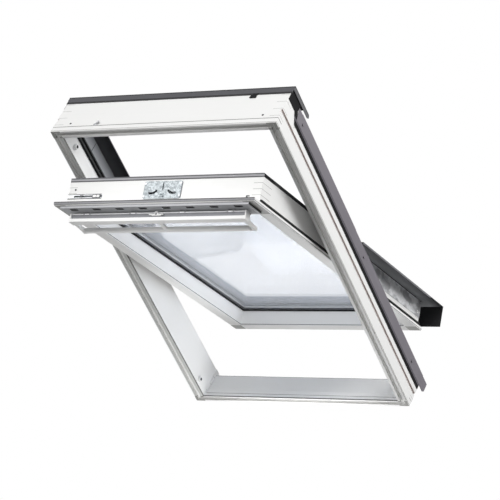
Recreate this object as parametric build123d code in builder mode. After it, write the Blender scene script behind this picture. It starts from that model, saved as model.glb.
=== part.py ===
"""Centre-pivot roof window, set at its roof pitch with the glazed sash turned open."""
import os
from math import atan2, cos, degrees, hypot, radians, sin

from build123d import *

os.makedirs("parts", exist_ok=True)

# Roof, frame timber and its grooves (millimetres and degrees)
ROOF_PITCH = 45.0
FRAME_WIDTH = 780.0
FRAME_HEIGHT = 1180.0
TIMBER_DEPTH = 121.0
JAMB_WIDTH = 33.0
TOP_FACE_WIDTH = 29.0
TOP_FLARE = 8.0
TOP_FLARE_DEPTH = 45.0
TOP_MEMBER_RISE = 3.5
SILL_FACE_WIDTH = 24.0
SILL_FLARE = 10.0
SILL_FLARE_DEPTH = 40.0
SILL_STEP = 2.0
SILL_STEP_DEPTH = 57.0
SILL_SHORT = 19.0
FRAME_FINGERS = 4
LINING_LIP_SIDE = 10.0
LINING_LIP_END = 6.0
LINING_GROOVE = 13.0
LINING_GROOVE_DEPTH = 10.0
FIXING_GROOVE_Z = 44.5
FIXING_GROOVE = 11.0
FIXING_GROOVE_DEPTH = 4.0
SCORE_LINE_Z = 19.0
SCORE_LINE = 1.5
JAMB_RECESS = 2.0
JAMB_RECESS_DEPTH = 63.0
JAMB_RECESS_START = 70.0
FIXING_HOLE_R = 2.5
FIXING_HOLE_DEPTH = 22.0
FIXING_HOLE_DOWN = 52.5
FIXING_HOLE_INSET = 80.0
TOP_HOLE_X = 333.0
TOP_HOLE_Z = 34.0
EDGE_ROUND = 2.5

# Sheet covers and seals of the frame
SHEET = 1.5
TOP_COVER_RISE = 33.0
TOP_COVER_REACH = 87.0
TOP_COVER_LIP = 4.0
TOP_COVER_RETURN = 108.0
TOP_COVER_RETURN_DROP = 15.0
TOP_COVER_RETURN_TAPER = 6.0
TOP_COVER_SIDE_GAP = 0.7
CLIP_NOTCH_X = 262.0
CLIP_NOTCH_WIDTH = 20.0
CLIP_NOTCH_DEPTH = 6.0
SIDE_COVER_LAP = 29.0
SIDE_COVER_RISE = 11.0
SIDE_COVER_START = 60.0
SIDE_COVER_BEVEL = 14.0
SIDE_COVER_TAIL = 38.0
SIDE_COVER_TAIL_TAPER = 8.0
HOOD_RISE = 22.0
HOOD_REACH = 62.0
HOOD_LIP = 3.0
HINGE_ROOM = 50.0
LOWER_FLANGE = 15.5
SIDE_SEAL = 19.0
SIDE_SEAL_THICKNESS = 1.0
SIDE_SEAL_JOG = 29.0
SIDE_SEAL_JOG_LENGTH = 26.0
SIDE_SEAL_LAP = 5.0
SIDE_SEAL_GAP = 1.0
LINER_DEPTH = 41.0
LINER_END_GAP = 6.0
JAMB_GASKET_WIDTH = 24.0
JAMB_GASKET_BASE = 2.0
JAMB_GASKET_RIDGE = 7.0
JAMB_GASKET_RIDGE_WIDTH = 5.0
JAMB_GASKET_MARGIN = 2.5
SILL_COVER_DROP = 40.0
COVER_SCREW_R = 2.0
COVER_SCREW_HEAD_R = 4.5
COVER_SCREW_HEAD = 2.2
COVER_SCREW_LENGTH = 18.0
COVER_SCREW_DOWN = 11.0
COVER_SCREW_TOP = 107.0
COVER_SCREW_BOTTOM = 90.0
COVER_SCREW_SHARE = 0.04
SCREW_HOLE_GAP = 0.3

# Sash timber and glazing
SASH_OPENING = 25.3
SASH_TRAVEL = 160.0
SASH_SIDE_GAP = 12.0
SASH_SET_IN = 78.0
SASH_TOP_GAP = 9.0
SASH_BOTTOM_GAP = 10.0
FLANGE_DEPTH = 11.0
FLANGE_LIP = 11.0
BOTTOM_LIP = 10.0
LEDGE_WIDTH = 44.0
SASH_TIMBER_DEPTH = 93.0
STILE_WIDTH = 40.0
TOP_RAIL_WIDTH = 54.0
SASH_FINGERS = 5
GLASS_BED = 50.0
REBATE_WIDTH = 16.0
GLASS_EDGE_GAP = 2.0
PANE = 4.0
GLASS_CAVITY = 12.0
EDGE_SEAL_WIDTH = 13.0
SPACER_WIDTH = 8.0
GLAZING_GASKET = 2.0
INNER_GASKET_LIP = 3.0
OUTER_GASKET_WIDTH = 7.0

# Sheet covers and seals of the sash
COVER_HEIGHT = 5.0
UPPER_COVER_HEIGHT = 11.0
COVER_LEG = 2.0
TOP_COVER_LAP = 1.0
COVER_INNER_LAP = 24.0
COVER_JOINT = 0.5
WING_REACH = 52.0
WING_LIP = 6.0
WING_CLEARANCE = 3.0
BOTTOM_COVER_REACH = 12.0
BOTTOM_COVER_DROP = 69.0
SIDE_PLATE_START = 60.0
SIDE_PLATE_LIFT = 29.0
SIDE_PLATE_SHEET = 1.2
SIDE_PLATE_HOLE_R = 6.0
SIDE_PLATE_HOLE_INSET = 16.0
RIVET_HEAD_R = 4.0
RIVET_HEAD = 1.6
RIVET_SHARES = (0.42, 0.84)
RIVET_RISE_SHARES = (0.62, 0.38)
SASH_GASKET_START = 2.0
SASH_GASKET_WIDTH = 12.0
SASH_GASKET_BASE = 2.0
SASH_GASKET_RIDGE = 6.0
SASH_GASKET_RIDGE_WIDTH = 4.0
LEDGE_SEAL = 3.0
LEDGE_SEAL_WIDTH = 8.0

# Side hinges
PIVOT_BELOW_CENTRE = 5.0
PIVOT_RISE = 4.0
HINGE_PIN_R = 6.0
HINGE_PIN_CLEARANCE = 0.3
HINGE_LUG_R = 13.0
HINGE_PLATE = 4.0
HINGE_PLATE_HALF = 46.0
FRAME_HINGE_HEIGHT = 59.0
SASH_HINGE_LIFT = 30.0
BRAKE_R = 10.0
BRAKE_CLEARANCE = 0.4
HINGE_SCREW_R = 2.0
HINGE_SCREW_HEAD_R = 4.2
HINGE_SCREW_HEAD = 1.8
HINGE_SCREW_LENGTH = 14.0
HINGE_SCREW_INSET = 10.0

# Vent rail and control bar on the room side of the top rail
VENT_RAIL_OVERHANG = 22.0
VENT_RAIL_BELOW_LEDGE = 5.0
VENT_RAIL_WIDTH = 77.0
VENT_RAIL_DEPTH = 7.0
VENT_RAIL_WALL = 2.0
VENT_SLOTS = 8
VENT_SLOT_LENGTH = 24.0
VENT_SLOT_WIDTH = 9.0
VENT_SLOT_IN = 10.0
BAR_BELOW_LEDGE = 38.0
BAR_AXIS_DROP = 5.5
BAR_AXIS_IN = 4.0
BAR_ROD_R = 2.5
BAR_ROD_CLEARANCE = 0.3
KNUCKLE_R = 4.5
KNUCKLE_WIDTH = 16.0
KNUCKLE_GAP = 0.6
KNUCKLE_SHARES = (-0.82, -0.28, 0.28, 0.82)
BAR_RAIL_DEPTH = 15.0
BAR_RAIL_WIDTH = 20.0
BAR_RAIL_GAP = 6.0
BAR_FRONT_DEPTH = 13.0
BAR_FRONT_WIDTH = 26.0
BAR_FRONT_LEAD = 5.0
BAR_END_INSET = 43.0
BAR_ROUND = 4.0
GRIP_END_INSET = 16.0
GRIP_GAP = 36.0
GRIP_WIDTH = 18.0
GRIP_DEPTH = 13.0
GRIP_DROP = 6.0
BRACKET_WIDTH = 13.0
BRACKET_LAP = 3.0
CATCH_WIDTH = 34.0
CATCH_HEIGHT = 7.0
CATCH_PROUD = 4.0
LUG_WIDTH = 3.0
LUG_LENGTH = 8.0
LUG_DROP = 4.5
LUG_ROOM_R = 7.0

# Lock in the top rail and its keeper on the frame
LOCK_PLATE_HALF = 65.0
LOCK_PLATE_LIFT = 21.0
LOCK_PLATE_HEIGHT = 55.0
LOCK_PLATE_SHEET = 3.0
LOCK_PLATE_ROUND = 6.0
LOCK_CASE_HALF = 58.0
LOCK_CASE_MARGIN = 4.0
LOCK_CASE_DEPTH = 18.0
LOCK_CASE_WALL = 1.5
LATCH_AXIS_X = 38.0
LATCH_AXIS_RISE = 41.0
LATCH_RADIUS = 24.0
LATCH_SWING = 60.0
LATCH_START = 284.0
HALF_TURN = 180.0
LATCH_STUD_R = 3.0
LATCH_SLOT_GAP = 0.6
LATCH_BOSS_R = 6.0
LATCH_PIN_R = 2.5
LATCH_PIN_CLEARANCE = 0.3
LATCH_ARM = 4.0
LATCH_ARM_GAP = 1.0
LATCH_STUD_PROUD = 2.5
KEY_SLOT_WIDTH = 4.0
KEY_SLOT_LENGTH = 22.0
KEY_SLOT_MARGIN = 5.0
LOOP_WIDTH = 14.0
LOOP_HEIGHT = 10.0
LOOP_WIRE = 3.0
LOOP_PROUD = 4.0
LOOP_MARGIN = 5.0
LOCK_SCREW_R = 2.0
LOCK_SCREW_HEAD_R = 3.6
LOCK_SCREW_HEAD = 1.4
LOCK_SCREW_LENGTH = 16.0
LOCK_SCREW_INSET = 8.0
LOCK_SCREW_EDGE = 4.0
KEEPER_HALF = 34.0
KEEPER_SHEET = 3.0
KEEPER_DOWN = 41.0
KEEPER_HEIGHT = 36.0
KEEPER_TONGUE_HALF = 12.0
KEEPER_GAP = 6.0

# Barrel bolt at the left end of the top rail, and its bushes
BOLT_LIFT = 34.0
BOLT_SINK = 5.0
BOLT_R = 4.0
BOLT_TRAVEL = 20.0
BOLT_END_GAP = 1.0
BOLT_LENGTH = 112.0
BOLT_TRAY_LENGTH = 126.0
BOLT_TRAY_WIDTH = 15.0
BOLT_TRAY_DEPTH = 10.0
BOLT_TRAY_NOSE = 6.0
BOLT_TRAY_PROUD = 1.2
BOLT_SLOT_LENGTH = 38.0
BOLT_SLOT_WIDTH = 6.0
BOLT_SLOT_END = 22.0
BOLT_CLEARANCE = 0.4
BOLT_KNOB_LENGTH = 10.0
BOLT_KNOB_WIDTH = 5.0
BOLT_KNOB_PROUD = 4.0
BUSH_PROUD = 8.0
BUSH_R = 9.0
BUSH_CLEARANCE = 0.6
VENT_ANGLE = 6.5

# Places worked out from the sizes above
HALF_WIDTH = FRAME_WIDTH / 2
HALF_HEIGHT = FRAME_HEIGHT / 2
JAMB_INNER_X = HALF_WIDTH - JAMB_WIDTH
TOP_INNER_Y = TOP_FACE_WIDTH - HALF_HEIGHT
TOP_FLARED_Y = TOP_INNER_Y - TOP_FLARE
TOP_MEMBER_Z = TIMBER_DEPTH + TOP_MEMBER_RISE
SILL_INNER_Y = HALF_HEIGHT - SILL_FACE_WIDTH
SILL_FLARED_Y = SILL_INNER_Y + SILL_FLARE
SILL_DEPTH = TIMBER_DEPTH - SILL_SHORT
SILL_COVER_Z = SILL_DEPTH + SHEET
JAMB_RECESS_Z = TIMBER_DEPTH - JAMB_RECESS_DEPTH
FIXING_HOLE_Z = TIMBER_DEPTH - FIXING_HOLE_DOWN
SIDE_COVER_LOW_Z = TIMBER_DEPTH - SIDE_COVER_LAP
SIDE_COVER_HIGH_Z = TIMBER_DEPTH + SIDE_COVER_RISE
LINER_LOW_Z = TIMBER_DEPTH - LINER_DEPTH
JAMB_GASKET_LOW_Z = LINER_LOW_Z - JAMB_GASKET_WIDTH
FRAME_HINGE_LOW_Z = TIMBER_DEPTH - FRAME_HINGE_HEIGHT
KEEPER_LOW_Z = TIMBER_DEPTH - KEEPER_DOWN
COVER_SCREW_Z = TIMBER_DEPTH - COVER_SCREW_DOWN
COVER_SCREW_YS = (
    COVER_SCREW_TOP - HALF_HEIGHT,
    COVER_SCREW_SHARE * FRAME_HEIGHT,
    HALF_HEIGHT - COVER_SCREW_BOTTOM,
)

SASH_ROOM_Z = TIMBER_DEPTH - SASH_SET_IN
FLANGE_X = JAMB_INNER_X - SASH_SIDE_GAP
BODY_X = FLANGE_X - FLANGE_LIP
STILE_INNER_X = FLANGE_X - STILE_WIDTH
LEDGE_Y = TOP_FLARED_Y + SASH_TOP_GAP
RAIL_TOP_Y = LEDGE_Y + LEDGE_WIDTH
RAIL_INNER_Y = RAIL_TOP_Y + TOP_RAIL_WIDTH
SASH_BOTTOM_Y = SILL_INNER_Y - SASH_BOTTOM_GAP
BODY_BOTTOM_Y = SASH_BOTTOM_Y - BOTTOM_LIP
BOTTOM_INNER_Y = SASH_BOTTOM_Y - STILE_WIDTH
FLANGE_Z = SASH_ROOM_Z + FLANGE_DEPTH
SASH_HINGE_LOW_Z = FLANGE_Z + SASH_HINGE_LIFT
SIDE_PLATE_LOW_Z = FLANGE_Z + SIDE_PLATE_LIFT
LOCK_PLATE_LOW_Z = FLANGE_Z + LOCK_PLATE_LIFT
BOLT_Z = FLANGE_Z + BOLT_LIFT
BAR_HALF = FLANGE_X - BAR_END_INSET
GRIP_HALF = BAR_HALF - GRIP_END_INSET
VENT_RAIL_HALF = BAR_HALF + VENT_RAIL_OVERHANG
VENT_SLOT_PITCH = 2 * VENT_RAIL_HALF / VENT_SLOTS
SASH_TIMBER_Z = SASH_ROOM_Z + SASH_TIMBER_DEPTH
REBATE_Z = SASH_ROOM_Z + GLASS_BED
GLASS_X = STILE_INNER_X + REBATE_WIDTH - GLASS_EDGE_GAP
GLASS_TOP_Y = RAIL_INNER_Y - REBATE_WIDTH + GLASS_EDGE_GAP
GLASS_BOTTOM_Y = BOTTOM_INNER_Y + REBATE_WIDTH - GLASS_EDGE_GAP
INNER_PANE_Z = REBATE_Z + GLAZING_GASKET
CAVITY_Z = INNER_PANE_Z + PANE
OUTER_PANE_Z = CAVITY_Z + GLASS_CAVITY
OUTER_GASKET_Z = OUTER_PANE_Z + PANE
COVER_SEAT_Z = OUTER_GASKET_Z + GLAZING_GASKET
COVER_TOP_Z = SASH_TIMBER_Z + COVER_HEIGHT
UPPER_COVER_Z = SASH_TIMBER_Z + UPPER_COVER_HEIGHT
PIVOT_Y = PIVOT_BELOW_CENTRE
PIVOT_Z = COVER_TOP_Z + PIVOT_RISE
WING_START_Y = PIVOT_Y + HINGE_LUG_R + WING_CLEARANCE
WING_X = BODY_X + WING_REACH
BOTTOM_COVER_Y = HALF_HEIGHT + BOTTOM_COVER_REACH
SIDES = {"left": -1, "right": 1}

# The origin is the middle of the sill's outer face, at the level of the fixing groove
ORIGIN_Z = FIXING_GROOVE_Z + FIXING_GROOVE / 2
ROOF = Location((0, 0, 0), (-ROOF_PITCH, 0, 0)) * Location((0, -HALF_HEIGHT, -ORIGIN_Z))
SASH = (
    ROOF
    * Location((0, PIVOT_Y, PIVOT_Z), (SASH_OPENING, 0, 0))
    * Location((0, -PIVOT_Y, -PIVOT_Z))
)
DOWN_SLOPE = Axis((0, 0, 0), Plane(ROOF).y_dir)
OUT_OF_ROOF = Axis((0, 0, 0), Plane(ROOF).z_dir)
DOWN_SASH = Axis((0, 0, 0), Plane(SASH).y_dir)
OUT_OF_SASH = Axis((0, 0, 0), Plane(SASH).z_dir)


def across(at, x):
    """Plane with sketch axes down the slope and out of the roof, facing +x."""
    return Plane(at * Plane(origin=(x, 0, 0), x_dir=(0, 1, 0), z_dir=(1, 0, 0)).location)


def along(at, y):
    """Plane with sketch axes +x and out of the roof, facing up the slope."""
    return Plane(at * Plane(origin=(0, y, 0), x_dir=(1, 0, 0), z_dir=(0, -1, 0)).location)


def plan(at, z):
    """Plane with sketch axes +x and down the slope, facing out of the roof."""
    return Plane(at * Location((0, 0, z)))


def prism(plane, points, length, mode=Mode.ADD):
    """Extrude the closed outline through the points into the current part."""
    with BuildSketch(plane) as outline:
        with BuildLine():
            Polyline(*points, close=True)
        make_face()
    extrude(outline.sketch, amount=length, mode=mode)


def block(low, high):
    """Corner points of a rectangle between two opposite corners."""
    return [low, (high[0], low[1]), high, (low[0], high[1])]


def rod(plane, centre, radius, length, mode=Mode.ADD):
    """Extrude a circle into the current part."""
    with BuildSketch(plane) as disc:
        with Locations(centre):
            Circle(radius)
    extrude(disc.sketch, amount=length, mode=mode)


def fingers(plane, section, length, low, depth, count, keep):
    """Cut the rows of a finger joint that the crossing member fills."""
    row = depth / count
    others = [(0, low + row * i + row / 2) for i in range(count) if i % 2 != keep]
    with BuildSketch(plane) as joint:
        with BuildLine():
            Polyline(*section, close=True)
        make_face()
        with Locations(*others):
            Rectangle(FRAME_WIDTH + FRAME_HEIGHT, row, mode=Mode.SUBTRACT)
    extrude(joint.sketch, amount=length, mode=Mode.SUBTRACT)


def ring(plane, half, top, bottom, width, depth, mode=Mode.ADD):
    """Extrude a rectangular ring of even width into the current part."""
    with BuildSketch(plane) as outline:
        with Locations((0, (top + bottom) / 2)):
            Rectangle(2 * half, bottom - top)
            Rectangle(2 * (half - width), bottom - top - 2 * width, mode=Mode.SUBTRACT)
    extrude(outline.sketch, amount=depth, mode=mode)


def turned(y, z, angle):
    """Place of a sash point after the sash has turned by an angle about its pivot."""
    reach = hypot(y - PIVOT_Y, z - PIVOT_Z)
    now = radians(degrees(atan2(z - PIVOT_Z, y - PIVOT_Y)) + angle)
    return PIVOT_Y + reach * cos(now), PIVOT_Z + reach * sin(now)


def save(piece, label):
    """Label a finished piece and write it."""
    piece.part.label = label
    export_step(piece.part, f"parts/{label}.step")


# Screws of the side hinges, as (down slope, out of roof)
frame_screw_places = [
    (PIVOT_Y + sy * (HINGE_PLATE_HALF - HINGE_SCREW_INSET), z)
    for sy in (-1, 1)
    for z in (FRAME_HINGE_LOW_Z + HINGE_SCREW_INSET, TIMBER_DEPTH - HINGE_SCREW_INSET)
]
sash_screw_places = [
    (PIVOT_Y + sy * (HINGE_PLATE_HALF - HINGE_SCREW_INSET), z)
    for sy in (-1, 1)
    for z in (SASH_HINGE_LOW_Z + HINGE_SCREW_INSET, SASH_TIMBER_Z - HINGE_SCREW_INSET)
]

# Frame timber: four members, finger jointed at the corners
top_section = [
    (-HALF_HEIGHT, 0),
    (TOP_INNER_Y, 0),
    (TOP_FLARED_Y, TOP_FLARE_DEPTH),
    (TOP_FLARED_Y, TOP_MEMBER_Z),
    (-HALF_HEIGHT, TOP_MEMBER_Z),
]
sill_section = [
    (SILL_INNER_Y, 0),
    (SILL_FLARED_Y, SILL_FLARE_DEPTH),
    (SILL_FLARED_Y, SILL_STEP_DEPTH),
    (SILL_FLARED_Y + SILL_STEP, SILL_STEP_DEPTH),
    (SILL_FLARED_Y + SILL_STEP, SILL_DEPTH),
    (HALF_HEIGHT, SILL_DEPTH),
    (HALF_HEIGHT, 0),
]


def lining_groove():
    """Groove round the room face of the frame that takes the wall lining."""
    with BuildSketch(plan(ROOF, 0)) as groove:
        Rectangle(FRAME_WIDTH - 2 * LINING_LIP_SIDE, FRAME_HEIGHT - 2 * LINING_LIP_END)
        Rectangle(
            FRAME_WIDTH - 2 * (LINING_LIP_SIDE + LINING_GROOVE),
            FRAME_HEIGHT - 2 * (LINING_LIP_END + LINING_GROOVE),
            mode=Mode.SUBTRACT,
        )
    extrude(groove.sketch, amount=LINING_GROOVE_DEPTH, mode=Mode.SUBTRACT)


for name, side in SIDES.items():
    outer, inner = side * HALF_WIDTH, side * JAMB_INNER_X
    groove_x = outer - side * FIXING_GROOVE_DEPTH
    groove_high = FIXING_GROOVE_Z + FIXING_GROOVE
    with BuildPart() as jamb:
        prism(along(ROOF, HALF_HEIGHT), block((inner, 0), (outer, TIMBER_DEPTH)), FRAME_HEIGHT)
        fillet(jamb.edges().filter_by(DOWN_SLOPE).sort_by(OUT_OF_ROOF)[:2], EDGE_ROUND)
        prism(
            along(ROOF, HALF_HEIGHT),
            block((groove_x, FIXING_GROOVE_Z), (outer, groove_high)),
            FRAME_HEIGHT,
            Mode.SUBTRACT,
        )
        prism(
            along(ROOF, SILL_INNER_Y),
            block((inner, JAMB_RECESS_Z), (inner + side * JAMB_RECESS, TIMBER_DEPTH)),
            SILL_INNER_Y - JAMB_RECESS_START,
            Mode.SUBTRACT,
        )
        lining_groove()
        for section in (top_section, sill_section):
            fingers(across(ROOF, inner), section, side * JAMB_WIDTH, 0, TIMBER_DEPTH, FRAME_FINGERS, 0)
        for end in (-1, 1):
            hole_y = end * (HALF_HEIGHT - FIXING_HOLE_INSET)
            rod(
                across(ROOF, outer),
                (hole_y, FIXING_HOLE_Z),
                FIXING_HOLE_R,
                -side * FIXING_HOLE_DEPTH,
                Mode.SUBTRACT,
            )
        for screw_y in COVER_SCREW_YS:
            rod(
                across(ROOF, outer),
                (screw_y, COVER_SCREW_Z),
                COVER_SCREW_R + SCREW_HOLE_GAP,
                -side * (COVER_SCREW_LENGTH + SCREW_HOLE_GAP),
                Mode.SUBTRACT,
            )
        for centre in frame_screw_places:
            rod(
                across(ROOF, inner),
                centre,
                HINGE_SCREW_R + SCREW_HOLE_GAP,
                side * HINGE_SCREW_LENGTH,
                Mode.SUBTRACT,
            )
    save(jamb, f"frame_{name}_jamb")

jamb_section_left = block((-HALF_WIDTH, 0), (-JAMB_INNER_X, TIMBER_DEPTH))
jamb_section_right = block((JAMB_INNER_X, 0), (HALF_WIDTH, TIMBER_DEPTH))

with BuildPart() as top_member:
    prism(across(ROOF, -HALF_WIDTH), top_section, FRAME_WIDTH)
    fillet(top_member.edges().filter_by(Axis.X).sort_by(OUT_OF_ROOF)[:2], EDGE_ROUND)
    lining_groove()
    prism(
        across(ROOF, -HALF_WIDTH),
        block((-HALF_HEIGHT, SCORE_LINE_Z), (SCORE_LINE - HALF_HEIGHT, SCORE_LINE_Z + SCORE_LINE)),
        FRAME_WIDTH,
        Mode.SUBTRACT,
    )
    for section in (jamb_section_left, jamb_section_right):
        fingers(along(ROOF, TOP_INNER_Y), section, TOP_FACE_WIDTH, 0, TIMBER_DEPTH, FRAME_FINGERS, 1)
    for side in SIDES.values():
        rod(
            along(ROOF, -HALF_HEIGHT),
            (side * TOP_HOLE_X, TOP_HOLE_Z),
            FIXING_HOLE_R,
            -FIXING_HOLE_DEPTH,
            Mode.SUBTRACT,
        )
save(top_member, "frame_top_member")

with BuildPart() as sill:
    prism(across(ROOF, -HALF_WIDTH), sill_section, FRAME_WIDTH)
    fillet(sill.edges().filter_by(Axis.X).sort_by(OUT_OF_ROOF)[:2], EDGE_ROUND)
    lining_groove()
    prism(
        across(ROOF, -JAMB_INNER_X),
        block((HALF_HEIGHT - SHEET, SILL_COVER_Z - SILL_COVER_DROP), (HALF_HEIGHT, SILL_DEPTH)),
        2 * JAMB_INNER_X,
        Mode.SUBTRACT,
    )
    for section in (jamb_section_left, jamb_section_right):
        fingers(along(ROOF, HALF_HEIGHT), section, SILL_FACE_WIDTH, 0, TIMBER_DEPTH, FRAME_FINGERS, 1)
save(sill, "frame_bottom_member")

# Frame covers in folded sheet
cover_top_z = TIMBER_DEPTH + TOP_COVER_RISE
cover_front_y = -HALF_HEIGHT - SHEET
cover_end_y = TOP_COVER_REACH - HALF_HEIGHT
return_x = HALF_WIDTH + SHEET + TOP_COVER_SIDE_GAP
return_end_y = TOP_COVER_RETURN - HALF_HEIGHT
return_low_z = cover_top_z - TOP_COVER_RETURN_DROP
top_cover_section = [
    (-HALF_HEIGHT, TOP_MEMBER_Z),
    (-HALF_HEIGHT, cover_top_z - SHEET),
    (cover_end_y - SHEET, cover_top_z - SHEET),
    (cover_end_y - SHEET, cover_top_z - TOP_COVER_LIP),
    (cover_end_y, cover_top_z - TOP_COVER_LIP),
    (cover_end_y, cover_top_z),
    (cover_front_y, cover_top_z),
    (cover_front_y, TOP_MEMBER_Z),
]
top_return = [
    (cover_front_y, return_low_z),
    (return_end_y, return_low_z),
    (return_end_y + TOP_COVER_RETURN_TAPER, return_low_z + TOP_COVER_RETURN_TAPER),
    (return_end_y + TOP_COVER_RETURN_TAPER, cover_top_z - TOP_COVER_RETURN_TAPER),
    (return_end_y, cover_top_z),
    (cover_front_y, cover_top_z),
]
with BuildPart() as top_cover:
    prism(across(ROOF, -return_x), top_cover_section, 2 * return_x)
    for side in SIDES.values():
        prism(across(ROOF, side * return_x), top_return, side * SHEET)
    prism(
        along(ROOF, -HALF_HEIGHT),
        block(
            (CLIP_NOTCH_X, TOP_MEMBER_Z),
            (CLIP_NOTCH_X + CLIP_NOTCH_WIDTH, TOP_MEMBER_Z + CLIP_NOTCH_DEPTH),
        ),
        SHEET,
        Mode.SUBTRACT,
    )
save(top_cover, "frame_top_cover")

cover_start_y = SIDE_COVER_START - HALF_HEIGHT
cover_tail_y = HALF_HEIGHT + SIDE_COVER_TAIL
hood_start_y = cover_end_y + COVER_JOINT
hood_end_y = PIVOT_Y - HINGE_ROOM
flange_start_y = PIVOT_Y + HINGE_ROOM
side_plate = [
    (cover_start_y, SIDE_COVER_HIGH_Z - SHEET),
    (cover_start_y + SIDE_COVER_BEVEL, SIDE_COVER_LOW_Z),
    (cover_tail_y - SIDE_COVER_TAIL_TAPER, SIDE_COVER_LOW_Z),
    (cover_tail_y, SIDE_COVER_LOW_Z + SIDE_COVER_TAIL_TAPER),
    (cover_tail_y, SIDE_COVER_HIGH_Z - SHEET),
]
for name, side in SIDES.items():
    outer = side * HALF_WIDTH
    face = outer + side * SHEET
    crest = outer - side * HOOD_REACH
    hood_z = SIDE_COVER_HIGH_Z + HOOD_RISE
    hood = [
        (face, SIDE_COVER_HIGH_Z - SHEET),
        (face, SIDE_COVER_HIGH_Z),
        (crest, hood_z),
        (crest, hood_z - HOOD_LIP),
        (crest + side * SHEET, hood_z - HOOD_LIP),
        (crest + side * SHEET, hood_z - SHEET),
        (outer, SIDE_COVER_HIGH_Z - SHEET),
    ]
    with BuildPart() as side_cover:
        prism(across(ROOF, outer), side_plate, side * SHEET)
        prism(along(ROOF, hood_end_y), hood, hood_end_y - hood_start_y)
        prism(
            along(ROOF, HALF_HEIGHT),
            block((face - side * LOWER_FLANGE, SIDE_COVER_HIGH_Z - SHEET), (face, SIDE_COVER_HIGH_Z)),
            HALF_HEIGHT - flange_start_y,
        )
        for screw_y in COVER_SCREW_YS:
            rod(
                across(ROOF, outer),
                (screw_y, COVER_SCREW_Z),
                COVER_SCREW_R + SCREW_HOLE_GAP,
                side * SHEET,
                Mode.SUBTRACT,
            )
    save(side_cover, f"frame_{name}_cover")

sill_cover_back = HALF_HEIGHT - SHEET
sill_cover_low = SILL_COVER_Z - SILL_COVER_DROP
with BuildPart() as sill_cover:
    prism(
        across(ROOF, -JAMB_INNER_X),
        [
            (SILL_FLARED_Y + SILL_STEP, SILL_DEPTH),
            (sill_cover_back, SILL_DEPTH),
            (sill_cover_back, sill_cover_low),
            (HALF_HEIGHT, sill_cover_low),
            (HALF_HEIGHT, SILL_COVER_Z),
            (SILL_FLARED_Y + SILL_STEP, SILL_COVER_Z),
        ],
        2 * JAMB_INNER_X,
    )
save(sill_cover, "frame_bottom_cover")

# Frame seals, liners and screws
seal_low_z = SIDE_COVER_LOW_Z - SIDE_SEAL
seal_jog_y = cover_start_y + SIDE_COVER_BEVEL
side_seal_outline = [
    (-HALF_HEIGHT, seal_low_z + SIDE_SEAL_JOG),
    (seal_jog_y - SIDE_SEAL_JOG_LENGTH, seal_low_z + SIDE_SEAL_JOG),
    (seal_jog_y, seal_low_z),
    (HALF_HEIGHT, seal_low_z),
    (HALF_HEIGHT, SIDE_COVER_LOW_Z),
    (seal_jog_y, SIDE_COVER_LOW_Z),
    (cover_start_y - SIDE_SEAL_GAP, TIMBER_DEPTH),
    (cover_start_y - SIDE_SEAL_GAP, return_low_z + SIDE_SEAL_LAP),
    (-HALF_HEIGHT, return_low_z + SIDE_SEAL_LAP),
]
gasket_base_x = JAMB_INNER_X - JAMB_GASKET_BASE
gasket_ridge_x = gasket_base_x - JAMB_GASKET_RIDGE + JAMB_GASKET_BASE
ridge_low = JAMB_GASKET_LOW_Z + JAMB_GASKET_MARGIN
ridge_high = LINER_LOW_Z - JAMB_GASKET_MARGIN - JAMB_GASKET_RIDGE_WIDTH
for name, side in SIDES.items():
    with BuildPart() as side_seal:
        prism(across(ROOF, side * HALF_WIDTH), side_seal_outline, side * SIDE_SEAL_THICKNESS)
    save(side_seal, f"frame_{name}_side_seal")

    inner = side * JAMB_INNER_X
    liner_top_y = TOP_FLARED_Y + LINER_END_GAP
    with BuildPart() as liner:
        prism(
            along(ROOF, hood_end_y),
            block((inner - side * SHEET, LINER_LOW_Z), (inner, TIMBER_DEPTH)),
            hood_end_y - liner_top_y,
        )
    save(liner, f"frame_{name}_liner")

    with BuildPart() as jamb_gasket:
        prism(
            along(ROOF, hood_end_y),
            block((side * gasket_base_x, JAMB_GASKET_LOW_Z), (inner, LINER_LOW_Z)),
            hood_end_y - liner_top_y,
        )
        for low in (ridge_low, ridge_high):
            prism(
                along(ROOF, hood_end_y),
                block(
                    (side * gasket_ridge_x, low),
                    (side * gasket_base_x, low + JAMB_GASKET_RIDGE_WIDTH),
                ),
                hood_end_y - liner_top_y,
            )
    save(jamb_gasket, f"frame_{name}_gasket")

with BuildPart() as cover_screws:
    for side in SIDES.values():
        for screw_y in COVER_SCREW_YS:
            face = across(ROOF, side * (HALF_WIDTH + SHEET))
            centre = (screw_y, COVER_SCREW_Z)
            rod(face, centre, COVER_SCREW_HEAD_R, side * COVER_SCREW_HEAD)
            rod(face, centre, COVER_SCREW_R, -side * COVER_SCREW_LENGTH)
save(cover_screws, "cover_screws")

# Sash timber: two stiles and two rails, finger jointed at the corners
top_rail_section = [
    (LEDGE_Y, SASH_ROOM_Z),
    (RAIL_INNER_Y, SASH_ROOM_Z),
    (RAIL_INNER_Y, REBATE_Z),
    (RAIL_INNER_Y - REBATE_WIDTH, REBATE_Z),
    (RAIL_INNER_Y - REBATE_WIDTH, SASH_TIMBER_Z),
    (RAIL_TOP_Y, SASH_TIMBER_Z),
    (RAIL_TOP_Y, FLANGE_Z),
    (LEDGE_Y, FLANGE_Z),
]
bottom_rail_section = [
    (BOTTOM_INNER_Y, SASH_ROOM_Z),
    (SASH_BOTTOM_Y, SASH_ROOM_Z),
    (SASH_BOTTOM_Y, FLANGE_Z),
    (BODY_BOTTOM_Y, FLANGE_Z),
    (BODY_BOTTOM_Y, SASH_TIMBER_Z),
    (BOTTOM_INNER_Y + REBATE_WIDTH, SASH_TIMBER_Z),
    (BOTTOM_INNER_Y + REBATE_WIDTH, REBATE_Z),
    (BOTTOM_INNER_Y, REBATE_Z),
]


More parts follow.
